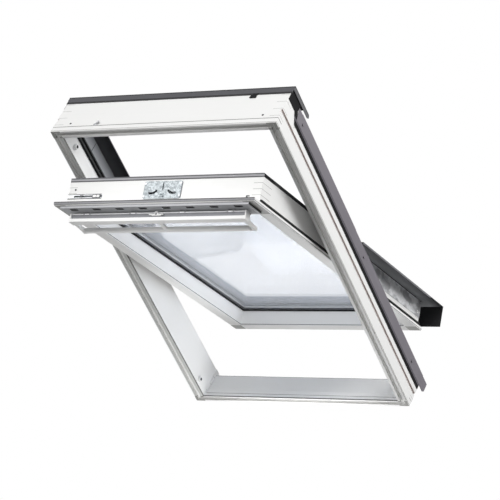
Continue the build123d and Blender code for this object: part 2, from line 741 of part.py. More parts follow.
def stile_section(side):
    """Section of a stile: room flange, body and the rebate for the glass."""
    return [
        (side * STILE_INNER_X, SASH_ROOM_Z),
        (side * FLANGE_X, SASH_ROOM_Z),
        (side * FLANGE_X, FLANGE_Z),
        (side * BODY_X, FLANGE_Z),
        (side * BODY_X, SASH_TIMBER_Z),
        (side * (STILE_INNER_X + REBATE_WIDTH), SASH_TIMBER_Z),
        (side * (STILE_INNER_X + REBATE_WIDTH), REBATE_Z),
        (side * STILE_INNER_X, REBATE_Z),
    ]


bolt_half = BOLT_TRAY_WIDTH / 2
bolt_nose_x = BOLT_TRAY_LENGTH - BODY_X
bolt_outline = [
    (-BODY_X, BOLT_Z - bolt_half),
    (bolt_nose_x - BOLT_TRAY_NOSE, BOLT_Z - bolt_half),
    (bolt_nose_x, BOLT_Z),
    (bolt_nose_x - BOLT_TRAY_NOSE, BOLT_Z + bolt_half),
    (-BODY_X, BOLT_Z + bolt_half),
]


def bolt_channel():
    """Groove in the top face of the sash for the barrel bolt, open at the left."""
    prism(along(SASH, RAIL_TOP_Y), bolt_outline, -BOLT_TRAY_DEPTH, Mode.SUBTRACT)


for name, side in SIDES.items():
    with BuildPart() as stile:
        prism(along(SASH, SASH_BOTTOM_Y), stile_section(side), SASH_BOTTOM_Y - LEDGE_Y)
        fillet(stile.edges().filter_by(DOWN_SASH).sort_by(OUT_OF_SASH)[:2], EDGE_ROUND)
        prism(
            across(SASH, 0),
            block((LEDGE_Y, FLANGE_Z), (RAIL_TOP_Y, SASH_TIMBER_Z)),
            side * FLANGE_X,
            Mode.SUBTRACT,
        )
        prism(
            across(SASH, 0),
            block((BODY_BOTTOM_Y, FLANGE_Z), (SASH_BOTTOM_Y, SASH_TIMBER_Z)),
            side * FLANGE_X,
            Mode.SUBTRACT,
        )
        for section in (top_rail_section, bottom_rail_section):
            fingers(
                across(SASH, side * STILE_INNER_X),
                section,
                side * STILE_WIDTH,
                SASH_ROOM_Z,
                SASH_TIMBER_DEPTH,
                SASH_FINGERS,
                0,
            )
        for centre in sash_screw_places:
            rod(
                across(SASH, side * BODY_X),
                centre,
                HINGE_SCREW_R + SCREW_HOLE_GAP,
                -side * HINGE_SCREW_LENGTH,
                Mode.SUBTRACT,
            )
        if name == "left":
            bolt_channel()
    save(stile, f"sash_{name}_stile")

rails = {
    "top": (top_rail_section, RAIL_INNER_Y, LEDGE_Y),
    "bottom": (bottom_rail_section, SASH_BOTTOM_Y, BOTTOM_INNER_Y),
}
lock_low_z = LOCK_PLATE_LOW_Z + LOCK_CASE_MARGIN
lock_high_z = LOCK_PLATE_LOW_Z + LOCK_PLATE_HEIGHT - LOCK_CASE_MARGIN
lock_screw_places = [
    (sx * (LOCK_PLATE_HALF - LOCK_SCREW_EDGE), z)
    for sx in (-1, 1)
    for z in (LOCK_PLATE_LOW_Z + LOCK_SCREW_INSET, LOCK_PLATE_LOW_Z + LOCK_PLATE_HEIGHT - LOCK_SCREW_INSET)
]
for name, (section, low_y, high_y) in rails.items():
    with BuildPart() as rail:
        prism(across(SASH, -FLANGE_X), section, 2 * FLANGE_X)
        fillet(rail.edges().filter_by(Axis.X).sort_by(OUT_OF_SASH)[:2], EDGE_ROUND)
        for side in SIDES.values():
            prism(
                along(SASH, low_y),
                block((side * BODY_X, FLANGE_Z), (side * FLANGE_X, SASH_TIMBER_Z)),
                low_y - high_y,
                Mode.SUBTRACT,
            )
            fingers(
                along(SASH, low_y),
                stile_section(side),
                low_y - high_y,
                SASH_ROOM_Z,
                SASH_TIMBER_DEPTH,
                SASH_FINGERS,
                1,
            )
        if name == "top":
            bolt_channel()
            prism(
                along(SASH, RAIL_TOP_Y),
                block((-LOCK_CASE_HALF, lock_low_z), (LOCK_CASE_HALF, lock_high_z)),
                -LOCK_CASE_DEPTH,
                Mode.SUBTRACT,
            )
            for centre in lock_screw_places:
                rod(
                    along(SASH, RAIL_TOP_Y),
                    centre,
                    LOCK_SCREW_R + SCREW_HOLE_GAP,
                    -LOCK_SCREW_LENGTH,
                    Mode.SUBTRACT,
                )
    save(rail, f"sash_{name}_rail")

# Sealed glass unit and its gaskets
with BuildPart() as inner_pane:
    prism(plan(SASH, INNER_PANE_Z), block((-GLASS_X, GLASS_TOP_Y), (GLASS_X, GLASS_BOTTOM_Y)), PANE)
save(inner_pane, "inner_pane")

with BuildPart() as outer_pane:
    prism(plan(SASH, OUTER_PANE_Z), block((-GLASS_X, GLASS_TOP_Y), (GLASS_X, GLASS_BOTTOM_Y)), PANE)
save(outer_pane, "outer_pane")

with BuildPart() as edge_seal:
    ring(plan(SASH, CAVITY_Z), GLASS_X, GLASS_TOP_Y, GLASS_BOTTOM_Y, EDGE_SEAL_WIDTH, GLASS_CAVITY)
save(edge_seal, "glass_edge_seal")

with BuildPart() as spacer:
    ring(
        plan(SASH, CAVITY_Z),
        GLASS_X - EDGE_SEAL_WIDTH,
        GLASS_TOP_Y + EDGE_SEAL_WIDTH,
        GLASS_BOTTOM_Y - EDGE_SEAL_WIDTH,
        SPACER_WIDTH,
        GLASS_CAVITY,
    )
save(spacer, "glass_spacer")

with BuildPart() as inner_gasket:
    ring(
        plan(SASH, REBATE_Z),
        GLASS_X,
        GLASS_TOP_Y,
        GLASS_BOTTOM_Y,
        GLASS_X - STILE_INNER_X + INNER_GASKET_LIP,
        GLAZING_GASKET,
    )
save(inner_gasket, "inner_glazing_gasket")

cover_inner_x = GLASS_X - COVER_INNER_LAP
cover_inner_top = GLASS_TOP_Y + COVER_INNER_LAP
cover_inner_bottom = GLASS_BOTTOM_Y - COVER_INNER_LAP
with BuildPart() as outer_gasket:
    ring(
        plan(SASH, OUTER_GASKET_Z),
        cover_inner_x + OUTER_GASKET_WIDTH,
        cover_inner_top - OUTER_GASKET_WIDTH,
        cover_inner_bottom + OUTER_GASKET_WIDTH,
        OUTER_GASKET_WIDTH,
        GLAZING_GASKET,
    )
save(outer_gasket, "outer_glazing_gasket")

# Sash covers in folded sheet: taller above the hinges, and reaching out over the frame below them
sheet_z = COVER_TOP_Z - SHEET
upper_sheet_z = UPPER_COVER_Z - SHEET
with BuildPart() as sash_top_cover:
    prism(
        across(SASH, -BODY_X),
        [
            (RAIL_TOP_Y - SHEET, SASH_TIMBER_Z - TOP_COVER_LAP),
            (RAIL_TOP_Y, SASH_TIMBER_Z - TOP_COVER_LAP),
            (RAIL_TOP_Y, SASH_TIMBER_Z),
            (RAIL_TOP_Y + COVER_LEG, SASH_TIMBER_Z),
            (RAIL_TOP_Y + COVER_LEG, upper_sheet_z),
            (cover_inner_top, upper_sheet_z),
            (cover_inner_top, UPPER_COVER_Z),
            (RAIL_TOP_Y - SHEET, UPPER_COVER_Z),
        ],
        2 * BODY_X,
    )
    prism(
        across(SASH, -cover_inner_x),
        block((cover_inner_top - SHEET, COVER_SEAT_Z), (cover_inner_top, upper_sheet_z)),
        2 * cover_inner_x,
    )
save(sash_top_cover, "sash_top_cover")

side_cover_top = cover_inner_top + COVER_JOINT
side_cover_bottom = cover_inner_bottom - COVER_JOINT


def narrow_cover(side, top_z):
    """Section of a side cover between the glass and the side of the stile."""
    return [
        (side * BODY_X, SASH_TIMBER_Z),
        (side * (BODY_X - COVER_LEG), SASH_TIMBER_Z),
        (side * (BODY_X - COVER_LEG), top_z - SHEET),
        (side * (cover_inner_x + SHEET), top_z - SHEET),
        (side * (cover_inner_x + SHEET), COVER_SEAT_Z),
        (side * cover_inner_x, COVER_SEAT_Z),
        (side * cover_inner_x, top_z),
        (side * BODY_X, top_z),
    ]


for name, side in SIDES.items():
    wing = [
        (side * BODY_X, sheet_z),
        (side * (WING_X - SHEET), sheet_z),
        (side * (WING_X - SHEET), COVER_TOP_Z - WING_LIP),
        (side * WING_X, COVER_TOP_Z - WING_LIP),
        (side * WING_X, COVER_TOP_Z),
        (side * BODY_X, COVER_TOP_Z),
    ]
    with BuildPart() as sash_side_cover:
        prism(along(SASH, hood_end_y), narrow_cover(side, UPPER_COVER_Z), hood_end_y - side_cover_top)
        prism(along(SASH, side_cover_bottom), narrow_cover(side, COVER_TOP_Z), side_cover_bottom - hood_end_y)
        prism(
            along(SASH, hood_end_y),
            block((side * cover_inner_x, sheet_z), (side * BODY_X, UPPER_COVER_Z)),
            SHEET,
        )
        prism(along(SASH, side_cover_bottom), wing, side_cover_bottom - WING_START_Y)
    save(sash_side_cover, f"sash_{name}_cover")

with BuildPart() as sash_bottom_cover:
    prism(
        across(SASH, -WING_X),
        [
            (cover_inner_bottom, sheet_z),
            (BOTTOM_COVER_Y - SHEET, sheet_z),
            (BOTTOM_COVER_Y - SHEET, COVER_TOP_Z - BOTTOM_COVER_DROP),
            (BOTTOM_COVER_Y, COVER_TOP_Z - BOTTOM_COVER_DROP),
            (BOTTOM_COVER_Y, COVER_TOP_Z),
            (cover_inner_bottom, COVER_TOP_Z),
        ],
        2 * WING_X,
    )
    prism(
        across(SASH, -cover_inner_x),
        block((cover_inner_bottom, COVER_SEAT_Z), (cover_inner_bottom + SHEET, sheet_z)),
        2 * cover_inner_x,
    )
    prism(
        across(SASH, -BODY_X),
        block((BODY_BOTTOM_Y - COVER_LEG, SASH_TIMBER_Z), (BODY_BOTTOM_Y, sheet_z)),
        2 * BODY_X,
    )
save(sash_bottom_cover, "sash_bottom_cover")

plate_length = BODY_BOTTOM_Y - SIDE_PLATE_START
plate_height = SASH_TIMBER_Z - SIDE_PLATE_LOW_Z
rivet_places = [
    (SIDE_PLATE_START + share * plate_length, SIDE_PLATE_LOW_Z + rise * plate_height)
    for share, rise in zip(RIVET_SHARES, RIVET_RISE_SHARES)
]
for name, side in SIDES.items():
    with BuildPart() as side_sheet:
        prism(
            across(SASH, side * BODY_X),
            block((SIDE_PLATE_START, SIDE_PLATE_LOW_Z), (BODY_BOTTOM_Y, SASH_TIMBER_Z)),
            side * SIDE_PLATE_SHEET,
        )
        rod(
            across(SASH, side * BODY_X),
            (BODY_BOTTOM_Y - SIDE_PLATE_HOLE_INSET, SIDE_PLATE_LOW_Z + SIDE_PLATE_HOLE_INSET),
            SIDE_PLATE_HOLE_R,
            side * SIDE_PLATE_SHEET,
            Mode.SUBTRACT,
        )
    save(side_sheet, f"sash_{name}_side_plate")

with BuildPart() as rivets:
    for side in SIDES.values():
        for centre in rivet_places:
            rod(across(SASH, side * (BODY_X + SIDE_PLATE_SHEET)), centre, RIVET_HEAD_R, side * RIVET_HEAD)
save(rivets, "side_plate_rivets")

# Sash seals
seal_high_z = FLANGE_Z + SASH_GASKET_WIDTH
gasket_start_y = RAIL_TOP_Y + SASH_GASKET_START
for name, side in SIDES.items():
    base_x = BODY_X + SASH_GASKET_BASE
    with BuildPart() as sash_gasket:
        prism(
            along(SASH, BODY_BOTTOM_Y),
            block((side * BODY_X, FLANGE_Z), (side * base_x, seal_high_z)),
            BODY_BOTTOM_Y - gasket_start_y,
        )
        for low in (FLANGE_Z, seal_high_z - SASH_GASKET_RIDGE_WIDTH):
            prism(
                along(SASH, BODY_BOTTOM_Y),
                block(
                    (side * base_x, low),
                    (side * (BODY_X + SASH_GASKET_RIDGE), low + SASH_GASKET_RIDGE_WIDTH),
                ),
                BODY_BOTTOM_Y - gasket_start_y,
            )
    save(sash_gasket, f"sash_{name}_gasket")

with BuildPart() as ledge_seal:
    prism(
        across(SASH, -FLANGE_X),
        block((LEDGE_Y - LEDGE_SEAL, FLANGE_Z - LEDGE_SEAL_WIDTH), (LEDGE_Y, FLANGE_Z)),
        2 * FLANGE_X,
    )
save(ledge_seal, "sash_top_seal")

# Side hinges: a plate with its pin on each jamb, a plate with an eye on each stile
def hinge_plate(plane, low_z, high_z, length):
    """Flat hinge plate with a round lug about the pivot."""
    with BuildSketch(plane) as outline:
        with Locations((PIVOT_Y, (low_z + high_z) / 2)):
            Rectangle(2 * HINGE_PLATE_HALF, high_z - low_z)
        with Locations((PIVOT_Y, (low_z + PIVOT_Z) / 2)):
            Rectangle(2 * HINGE_LUG_R, PIVOT_Z - low_z)
        with Locations((PIVOT_Y, PIVOT_Z)):
            Circle(HINGE_LUG_R)
    extrude(outline.sketch, amount=length)


for name, side in SIDES.items():
    jamb_face = across(ROOF, side * JAMB_INNER_X)
    with BuildPart() as frame_hinge:
        hinge_plate(jamb_face, FRAME_HINGE_LOW_Z, TIMBER_DEPTH, -side * HINGE_PLATE)
        rod(jamb_face, (PIVOT_Y, PIVOT_Z), HINGE_PIN_R, -side * (JAMB_INNER_X - BODY_X))
        for centre in frame_screw_places:
            rod(jamb_face, centre, HINGE_SCREW_R + SCREW_HOLE_GAP, -side * HINGE_PLATE, Mode.SUBTRACT)
    save(frame_hinge, f"{name}_hinge_frame_plate")

    stile_face = across(SASH, side * BODY_X)
    with BuildPart() as sash_hinge:
        hinge_plate(stile_face, SASH_HINGE_LOW_Z, SASH_TIMBER_Z, side * HINGE_PLATE)
        rod(
            stile_face,
            (PIVOT_Y, PIVOT_Z),
            HINGE_PIN_R + HINGE_PIN_CLEARANCE,
            side * HINGE_PLATE,
            Mode.SUBTRACT,
        )
        for centre in sash_screw_places:
            rod(stile_face, centre, HINGE_SCREW_R + SCREW_HOLE_GAP, side * HINGE_PLATE, Mode.SUBTRACT)
    save(sash_hinge, f"{name}_hinge_sash_plate")

    brake_start = BODY_X + HINGE_PLATE + BRAKE_CLEARANCE
    brake_end = JAMB_INNER_X - HINGE_PLATE
    with BuildPart() as brake:
        rod(across(ROOF, side * brake_start), (PIVOT_Y, PIVOT_Z), BRAKE_R, side * (brake_end - brake_start))
        rod(
            across(ROOF, side * brake_start),
            (PIVOT_Y, PIVOT_Z),
            HINGE_PIN_R,
            side * (brake_end - brake_start),
            Mode.SUBTRACT,
        )
    save(brake, f"{name}_hinge_brake")

with BuildPart() as frame_hinge_screws:
    for side in SIDES.values():
        face = across(ROOF, side * (JAMB_INNER_X - HINGE_PLATE))
        for centre in frame_screw_places:
            rod(face, centre, HINGE_SCREW_HEAD_R, -side * HINGE_SCREW_HEAD)
            rod(face, centre, HINGE_SCREW_R, side * HINGE_SCREW_LENGTH)
save(frame_hinge_screws, "frame_hinge_screws")

with BuildPart() as sash_hinge_screws:
    for side in SIDES.values():
        face = across(SASH, side * (BODY_X + HINGE_PLATE))
        for centre in sash_screw_places:
            rod(face, centre, HINGE_SCREW_HEAD_R, side * HINGE_SCREW_HEAD)
            rod(face, centre, HINGE_SCREW_R, -side * HINGE_SCREW_LENGTH)
save(sash_hinge_screws, "sash_hinge_screws")

# Vent rail under the top rail, with lugs for the rod of the control bar
vent_top_y = LEDGE_Y + VENT_RAIL_BELOW_LEDGE
vent_end_y = vent_top_y + VENT_RAIL_WIDTH
vent_low_z = SASH_ROOM_Z - VENT_RAIL_DEPTH
bar_top_y = LEDGE_Y + BAR_BELOW_LEDGE
bar_axis = (bar_top_y + BAR_AXIS_IN, vent_low_z - BAR_AXIS_DROP)
knuckle_places = [share * BAR_HALF for share in KNUCKLE_SHARES]
knuckle_half = KNUCKLE_WIDTH / 2
lug_low = (bar_top_y, vent_low_z - BAR_AXIS_DROP - LUG_DROP)
lug_high = (bar_top_y + LUG_LENGTH, vent_low_z)
slot_top_y = vent_top_y + VENT_SLOT_IN
vent_slots_half = (VENT_SLOTS - 1) * VENT_SLOT_PITCH / 2 + VENT_SLOT_LENGTH / 2
with BuildPart() as vent_rail:
    prism(
        across(SASH, -VENT_RAIL_HALF),
        block((vent_top_y, vent_low_z), (vent_end_y, SASH_ROOM_Z)),
        2 * VENT_RAIL_HALF,
    )
    prism(
        across(SASH, -VENT_RAIL_HALF),
        block(
            (vent_top_y + VENT_RAIL_WALL, vent_low_z + VENT_RAIL_WALL),
            (vent_end_y - VENT_RAIL_WALL, SASH_ROOM_Z),
        ),
        2 * VENT_RAIL_HALF,
        Mode.SUBTRACT,
    )
    for i in range(VENT_SLOTS):
        slot_x = i * VENT_SLOT_PITCH - vent_slots_half
        prism(
            plan(SASH, vent_low_z),
            block((slot_x, slot_top_y), (slot_x + VENT_SLOT_LENGTH, slot_top_y + VENT_SLOT_WIDTH)),
            VENT_RAIL_WALL,
            Mode.SUBTRACT,
        )
    for x in knuckle_places:
        for side in SIDES.values():
            face = across(SASH, x + side * (knuckle_half + KNUCKLE_GAP))
            prism(face, block(lug_low, lug_high), side * LUG_WIDTH)
            rod(face, bar_axis, BAR_ROD_R, side * LUG_WIDTH, Mode.SUBTRACT)
save(vent_rail, "vent_rail")

rod_half = knuckle_places[-1] + knuckle_half + KNUCKLE_GAP + LUG_WIDTH
with BuildPart() as hinge_rod:
    rod(across(SASH, -rod_half), bar_axis, BAR_ROD_R, 2 * rod_half)
save(hinge_rod, "bar_hinge_rod")

# Control bar: hinged rail, front bar, grip bar and the brackets between them
rail_high_z = vent_low_z - BAR_RAIL_GAP
rail_low_z = rail_high_z - BAR_RAIL_DEPTH
catch_z = rail_low_z + (BAR_RAIL_DEPTH - CATCH_HEIGHT) / 2
with BuildPart() as bar_rail:
    prism(
        across(SASH, -BAR_HALF),
        block((bar_top_y, rail_low_z), (bar_top_y + BAR_RAIL_WIDTH, rail_high_z)),
        2 * BAR_HALF,
    )
    for x in knuckle_places:
        rod(across(SASH, x - knuckle_half), bar_axis, KNUCKLE_R, KNUCKLE_WIDTH)
        for side in SIDES.values():
            rod(
                across(SASH, x + side * knuckle_half),
                bar_axis,
                LUG_ROOM_R,
                side * (LUG_WIDTH + 2 * KNUCKLE_GAP),
                Mode.SUBTRACT,
            )
    rod(across(SASH, -BAR_HALF), bar_axis, BAR_ROD_R + BAR_ROD_CLEARANCE, 2 * BAR_HALF, Mode.SUBTRACT)
    prism(
        along(SASH, bar_top_y),
        block((-CATCH_WIDTH / 2, catch_z), (CATCH_WIDTH / 2, catch_z + CATCH_HEIGHT)),
        CATCH_PROUD,
    )
save(bar_rail, "bar_rail")

front_top_y = bar_top_y - BAR_FRONT_LEAD
front_end_y = front_top_y + BAR_FRONT_WIDTH
front_low_z = rail_low_z - BAR_FRONT_DEPTH
with BuildPart() as front_bar:
    prism(
        across(SASH, -BAR_HALF),
        block((front_top_y, front_low_z), (front_end_y, rail_low_z)),
        2 * BAR_HALF,
    )
    fillet(front_bar.edges().filter_by(Axis.X), BAR_ROUND)
save(front_bar, "control_bar")

grip_top_y = front_end_y + GRIP_GAP
grip_end_y = grip_top_y + GRIP_WIDTH
grip_low_z = front_low_z - GRIP_DROP
grip_high_z = grip_low_z + GRIP_DEPTH
with BuildPart() as grip_bar:
    prism(
        across(SASH, -GRIP_HALF),
        block((grip_top_y, grip_low_z), (grip_end_y, grip_high_z)),
        2 * GRIP_HALF,
    )
    fillet(grip_bar.edges().filter_by(Axis.X), BAR_ROUND)
save(grip_bar, "grip_bar")

for name, side in SIDES.items():
    with BuildPart() as bar_end:
        prism(
            across(SASH, side * GRIP_HALF),
            [
                (front_end_y, front_low_z),
                (grip_top_y, grip_low_z),
                (grip_end_y, grip_low_z),
                (grip_end_y, grip_high_z),
                (grip_top_y, grip_high_z),
                (front_end_y, rail_low_z),
            ],
            side * BRACKET_WIDTH,
        )
        fillet(bar_end.edges().filter_by(Axis.X).sort_by(DOWN_SASH)[-2:], BAR_ROUND)
    save(bar_end, f"bar_{name}_end")

with BuildPart() as centre_bracket:
    prism(
        across(SASH, -BRACKET_WIDTH / 2),
        [
            (front_end_y, front_low_z + BRACKET_LAP),
            (grip_top_y, grip_low_z + BRACKET_LAP),
            (grip_top_y, grip_high_z - BRACKET_LAP),
            (front_end_y, rail_low_z - BRACKET_LAP),
        ],
        BRACKET_WIDTH,
    )
save(centre_bracket, "bar_centre_bracket")

# Lock: plate with curved slots, case with two pins, and two swinging latches
latch_z = LOCK_PLATE_LOW_Z + LATCH_AXIS_RISE
latch_starts = {"left": HALF_TURN - LATCH_START, "right": LATCH_START}
latch_arcs = [
    CenterArc((side * LATCH_AXIS_X, latch_z), LATCH_RADIUS, latch_starts[name], -side * LATCH_SWING)
    for name, side in SIDES.items()
]
loop_z = LOCK_PLATE_LOW_Z + LOOP_MARGIN + LOOP_HEIGHT / 2
key_slot_z = LOCK_PLATE_LOW_Z + LOCK_PLATE_HEIGHT - KEY_SLOT_MARGIN - KEY_SLOT_LENGTH / 2
plate_face_y = RAIL_TOP_Y - LOCK_PLATE_SHEET
with BuildPart() as lock_plate:
    with BuildSketch(along(SASH, RAIL_TOP_Y)):
        with Locations((0, LOCK_PLATE_LOW_Z + LOCK_PLATE_HEIGHT / 2)):
            RectangleRounded(2 * LOCK_PLATE_HALF, LOCK_PLATE_HEIGHT, LOCK_PLATE_ROUND)
        with Locations((0, key_slot_z)):
            Rectangle(KEY_SLOT_WIDTH, KEY_SLOT_LENGTH, mode=Mode.SUBTRACT)
        for arc in latch_arcs:
            SlotArc(arc, 2 * (LATCH_STUD_R + LATCH_SLOT_GAP), mode=Mode.SUBTRACT)
        with Locations(*lock_screw_places):
            Circle(LOCK_SCREW_R + SCREW_HOLE_GAP, mode=Mode.SUBTRACT)
    extrude(amount=LOCK_PLATE_SHEET)
    with BuildSketch(along(SASH, plate_face_y)):
        with Locations((0, loop_z)):
            Rectangle(LOOP_WIDTH, LOOP_HEIGHT)
            Rectangle(LOOP_WIDTH - 2 * LOOP_WIRE, LOOP_HEIGHT - 2 * LOOP_WIRE, mode=Mode.SUBTRACT)
    extrude(amount=LOOP_PROUD)
save(lock_plate, "lock_plate")

case_low = (-LOCK_CASE_HALF, lock_low_z)
case_high = (LOCK_CASE_HALF, lock_high_z)
case_floor = LOCK_CASE_DEPTH - LOCK_CASE_WALL
with BuildPart() as lock_case:
    prism(along(SASH, RAIL_TOP_Y), block(case_low, case_high), -LOCK_CASE_DEPTH)
    prism(
        along(SASH, RAIL_TOP_Y),
        block(
            (LOCK_CASE_WALL - LOCK_CASE_HALF, lock_low_z + LOCK_CASE_WALL),
            (LOCK_CASE_HALF - LOCK_CASE_WALL, lock_high_z - LOCK_CASE_WALL),
        ),
        -case_floor,
        Mode.SUBTRACT,
    )
    for side in SIDES.values():
        rod(along(SASH, RAIL_TOP_Y + case_floor), (side * LATCH_AXIS_X, latch_z), LATCH_PIN_R, case_floor)
save(lock_case, "lock_case")

with BuildPart() as lock_screws:
    for centre in lock_screw_places:
        rod(along(SASH, plate_face_y), centre, LOCK_SCREW_HEAD_R, LOCK_SCREW_HEAD)
        rod(along(SASH, plate_face_y), centre, LOCK_SCREW_R, -LOCK_SCREW_LENGTH)
save(lock_screws, "lock_screws")

stud_run = LATCH_RADIUS * cos(radians(LATCH_START))
stud_z = latch_z + LATCH_RADIUS * sin(radians(LATCH_START))
latch_top_y = RAIL_TOP_Y + LATCH_ARM_GAP
for name, side in SIDES.items():
    axis_x = side * LATCH_AXIS_X
    stud_x = axis_x + side * stud_run
    with BuildPart() as latch:
        with BuildSketch(along(SASH, latch_top_y)):
            SlotCenterPoint(
                ((axis_x + stud_x) / 2, (latch_z + stud_z) / 2),
                (stud_x, stud_z),
                2 * LATCH_STUD_R,
            )
            with Locations((axis_x, latch_z)):
                Circle(LATCH_BOSS_R)
                Circle(LATCH_PIN_R + LATCH_PIN_CLEARANCE, mode=Mode.SUBTRACT)
        extrude(amount=-LATCH_ARM)
        rod(
            along(SASH, latch_top_y),
            (stud_x, stud_z),
            LATCH_STUD_R,
            LATCH_ARM_GAP + LOCK_PLATE_SHEET + LATCH_STUD_PROUD,
        )
    save(latch, f"latch_{name}")

keeper_tip_y = plate_face_y - LOOP_PROUD - KEEPER_GAP
tongue_z = KEEPER_LOW_Z + (KEEPER_HEIGHT - KEEPER_SHEET) / 2
with BuildPart() as keeper:
    prism(
        across(ROOF, -KEEPER_HALF),
        block((TOP_FLARED_Y, KEEPER_LOW_Z), (TOP_FLARED_Y + KEEPER_SHEET, KEEPER_LOW_Z + KEEPER_HEIGHT)),
        2 * KEEPER_HALF,
    )
    prism(
        across(ROOF, -KEEPER_TONGUE_HALF),
        block((TOP_FLARED_Y, tongue_z), (keeper_tip_y, tongue_z + KEEPER_SHEET)),
        2 * KEEPER_TONGUE_HALF,
    )
save(keeper, "lock_keeper")

# Barrel bolt that holds the sash ajar or turned right over
bolt_y = RAIL_TOP_Y + BOLT_SINK
bolt_room = BOLT_R + BOLT_CLEARANCE
bolt_end_x = BOLT_END_GAP - BODY_X
slot_start_x = BOLT_SLOT_END - BODY_X
knob_margin = (BOLT_SLOT_LENGTH - BOLT_KNOB_LENGTH - BOLT_TRAVEL) / 2
knob_end_x = slot_start_x + BOLT_SLOT_LENGTH - knob_margin
with BuildPart() as bolt_tray:
    prism(
        along(SASH, RAIL_TOP_Y - BOLT_TRAY_PROUD),
        bolt_outline,
        -BOLT_TRAY_DEPTH - BOLT_TRAY_PROUD,
    )
    prism(
        across(SASH, -BODY_X),
        block((bolt_y - bolt_room, BOLT_Z - bolt_room), (bolt_y + bolt_room, BOLT_Z + bolt_room)),
        2 * BOLT_END_GAP + BOLT_LENGTH,
        Mode.SUBTRACT,
    )
    prism(
        along(SASH, bolt_y),
        block(
            (slot_start_x, BOLT_Z - BOLT_SLOT_WIDTH / 2),
            (slot_start_x + BOLT_SLOT_LENGTH, BOLT_Z + BOLT_SLOT_WIDTH / 2),
        ),
        BOLT_SINK + BOLT_TRAY_PROUD,
        Mode.SUBTRACT,
    )
save(bolt_tray, "bolt_tray")

with BuildPart() as barrel_bolt:
    rod(across(SASH, bolt_end_x), (bolt_y, BOLT_Z), BOLT_R, BOLT_LENGTH)
    prism(
        along(SASH, bolt_y),
        block(
            (knob_end_x - BOLT_KNOB_LENGTH, BOLT_Z - BOLT_KNOB_WIDTH / 2),
            (knob_end_x, BOLT_Z + BOLT_KNOB_WIDTH / 2),
        ),
        BOLT_SINK + BOLT_TRAY_PROUD + BOLT_KNOB_PROUD,
    )
save(barrel_bolt, "barrel_bolt")

with BuildPart() as bolt_bushes:
    for angle in (VENT_ANGLE, SASH_TRAVEL):
        centre = turned(bolt_y, BOLT_Z, angle)
        rod(across(ROOF, -JAMB_INNER_X), centre, BUSH_R, BUSH_PROUD)
        rod(across(ROOF, -JAMB_INNER_X), centre, BOLT_R + BUSH_CLEARANCE, BUSH_PROUD, Mode.SUBTRACT)
save(bolt_bushes, "bolt_bushes")
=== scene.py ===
# %% [markdown]
# # A centre-pivot roof window
# The CAD model gives every solid of the window its size and place. This script dresses those solids:
# it sets up the camera and the light, gives each piece a finish like the real one's, and adds the
# small things that are too fine for the CAD model. We load the model first, and keep its box, because
# nothing that we add may make the window bigger.

# %% Load the window
from math import cos, pi, radians, sin

import bmesh
import bpy
from mathutils import Matrix, Vector


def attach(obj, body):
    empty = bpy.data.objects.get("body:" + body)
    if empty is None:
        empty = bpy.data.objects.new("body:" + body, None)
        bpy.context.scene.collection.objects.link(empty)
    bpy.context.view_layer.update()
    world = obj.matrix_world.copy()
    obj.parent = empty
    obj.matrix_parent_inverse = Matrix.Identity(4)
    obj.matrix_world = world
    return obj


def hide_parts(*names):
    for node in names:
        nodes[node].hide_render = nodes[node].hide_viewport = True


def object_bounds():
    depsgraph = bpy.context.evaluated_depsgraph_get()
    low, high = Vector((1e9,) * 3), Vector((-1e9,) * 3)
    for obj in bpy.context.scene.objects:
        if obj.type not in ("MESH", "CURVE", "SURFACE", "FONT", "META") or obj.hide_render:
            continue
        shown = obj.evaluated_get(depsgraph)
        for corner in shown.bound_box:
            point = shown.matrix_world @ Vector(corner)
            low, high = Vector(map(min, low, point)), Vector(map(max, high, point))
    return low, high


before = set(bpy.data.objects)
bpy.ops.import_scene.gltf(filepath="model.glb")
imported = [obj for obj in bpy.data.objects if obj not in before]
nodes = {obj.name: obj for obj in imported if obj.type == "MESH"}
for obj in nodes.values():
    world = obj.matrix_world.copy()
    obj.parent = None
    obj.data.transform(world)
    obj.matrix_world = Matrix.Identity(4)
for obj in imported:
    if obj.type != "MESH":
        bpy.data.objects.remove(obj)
cad_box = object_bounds()
print("solids loaded:", len(nodes), "box:", [tuple(round(v, 3) for v in corner) for corner in cad_box])

# %% [markdown]
# ## Two sets of axes
# The frame lies on the roof's slope and the sash is turned in it, so neither lines up with the
# world. It is easiest to think along the slope: x to the right, y down the slope, z out of the roof.
# Two matrices turn such a place into the world's. The sash has its own, turned about the hinge.

# %% Roof axes and sash axes
PITCH = 45.0
OPENING = 25.3
HALF_HEIGHT = 0.590
ORIGIN_DEPTH = 0.050
HINGE = Vector((0, 0.005, 0.145))

roof = Matrix.Rotation(radians(-PITCH), 4, "X") @ Matrix.Translation((0, -HALF_HEIGHT, -ORIGIN_DEPTH))
sash = (
    roof
    @ Matrix.Translation(HINGE)
    @ Matrix.Rotation(radians(OPENING), 4, "X")
    @ Matrix.Translation(-HINGE)
)
print("hinge in the world:", [round(v, 4) for v in roof @ HINGE])

# %% [markdown]
# ## The camera
# The picture was taken with a long lens, a little below the middle of the window and from its right.
# The distance, the lens and the angles were found by fitting the window's straight edges.

# %% Camera
TURN, TILT, ROLL = radians(30.666), radians(-1.2045), radians(0.084)
DISTANCE = 7.2513
AIM = Vector((0.04392, -0.42815, 0.44915))
LENS_MM, SENSOR_MM = 170.76, 36.0

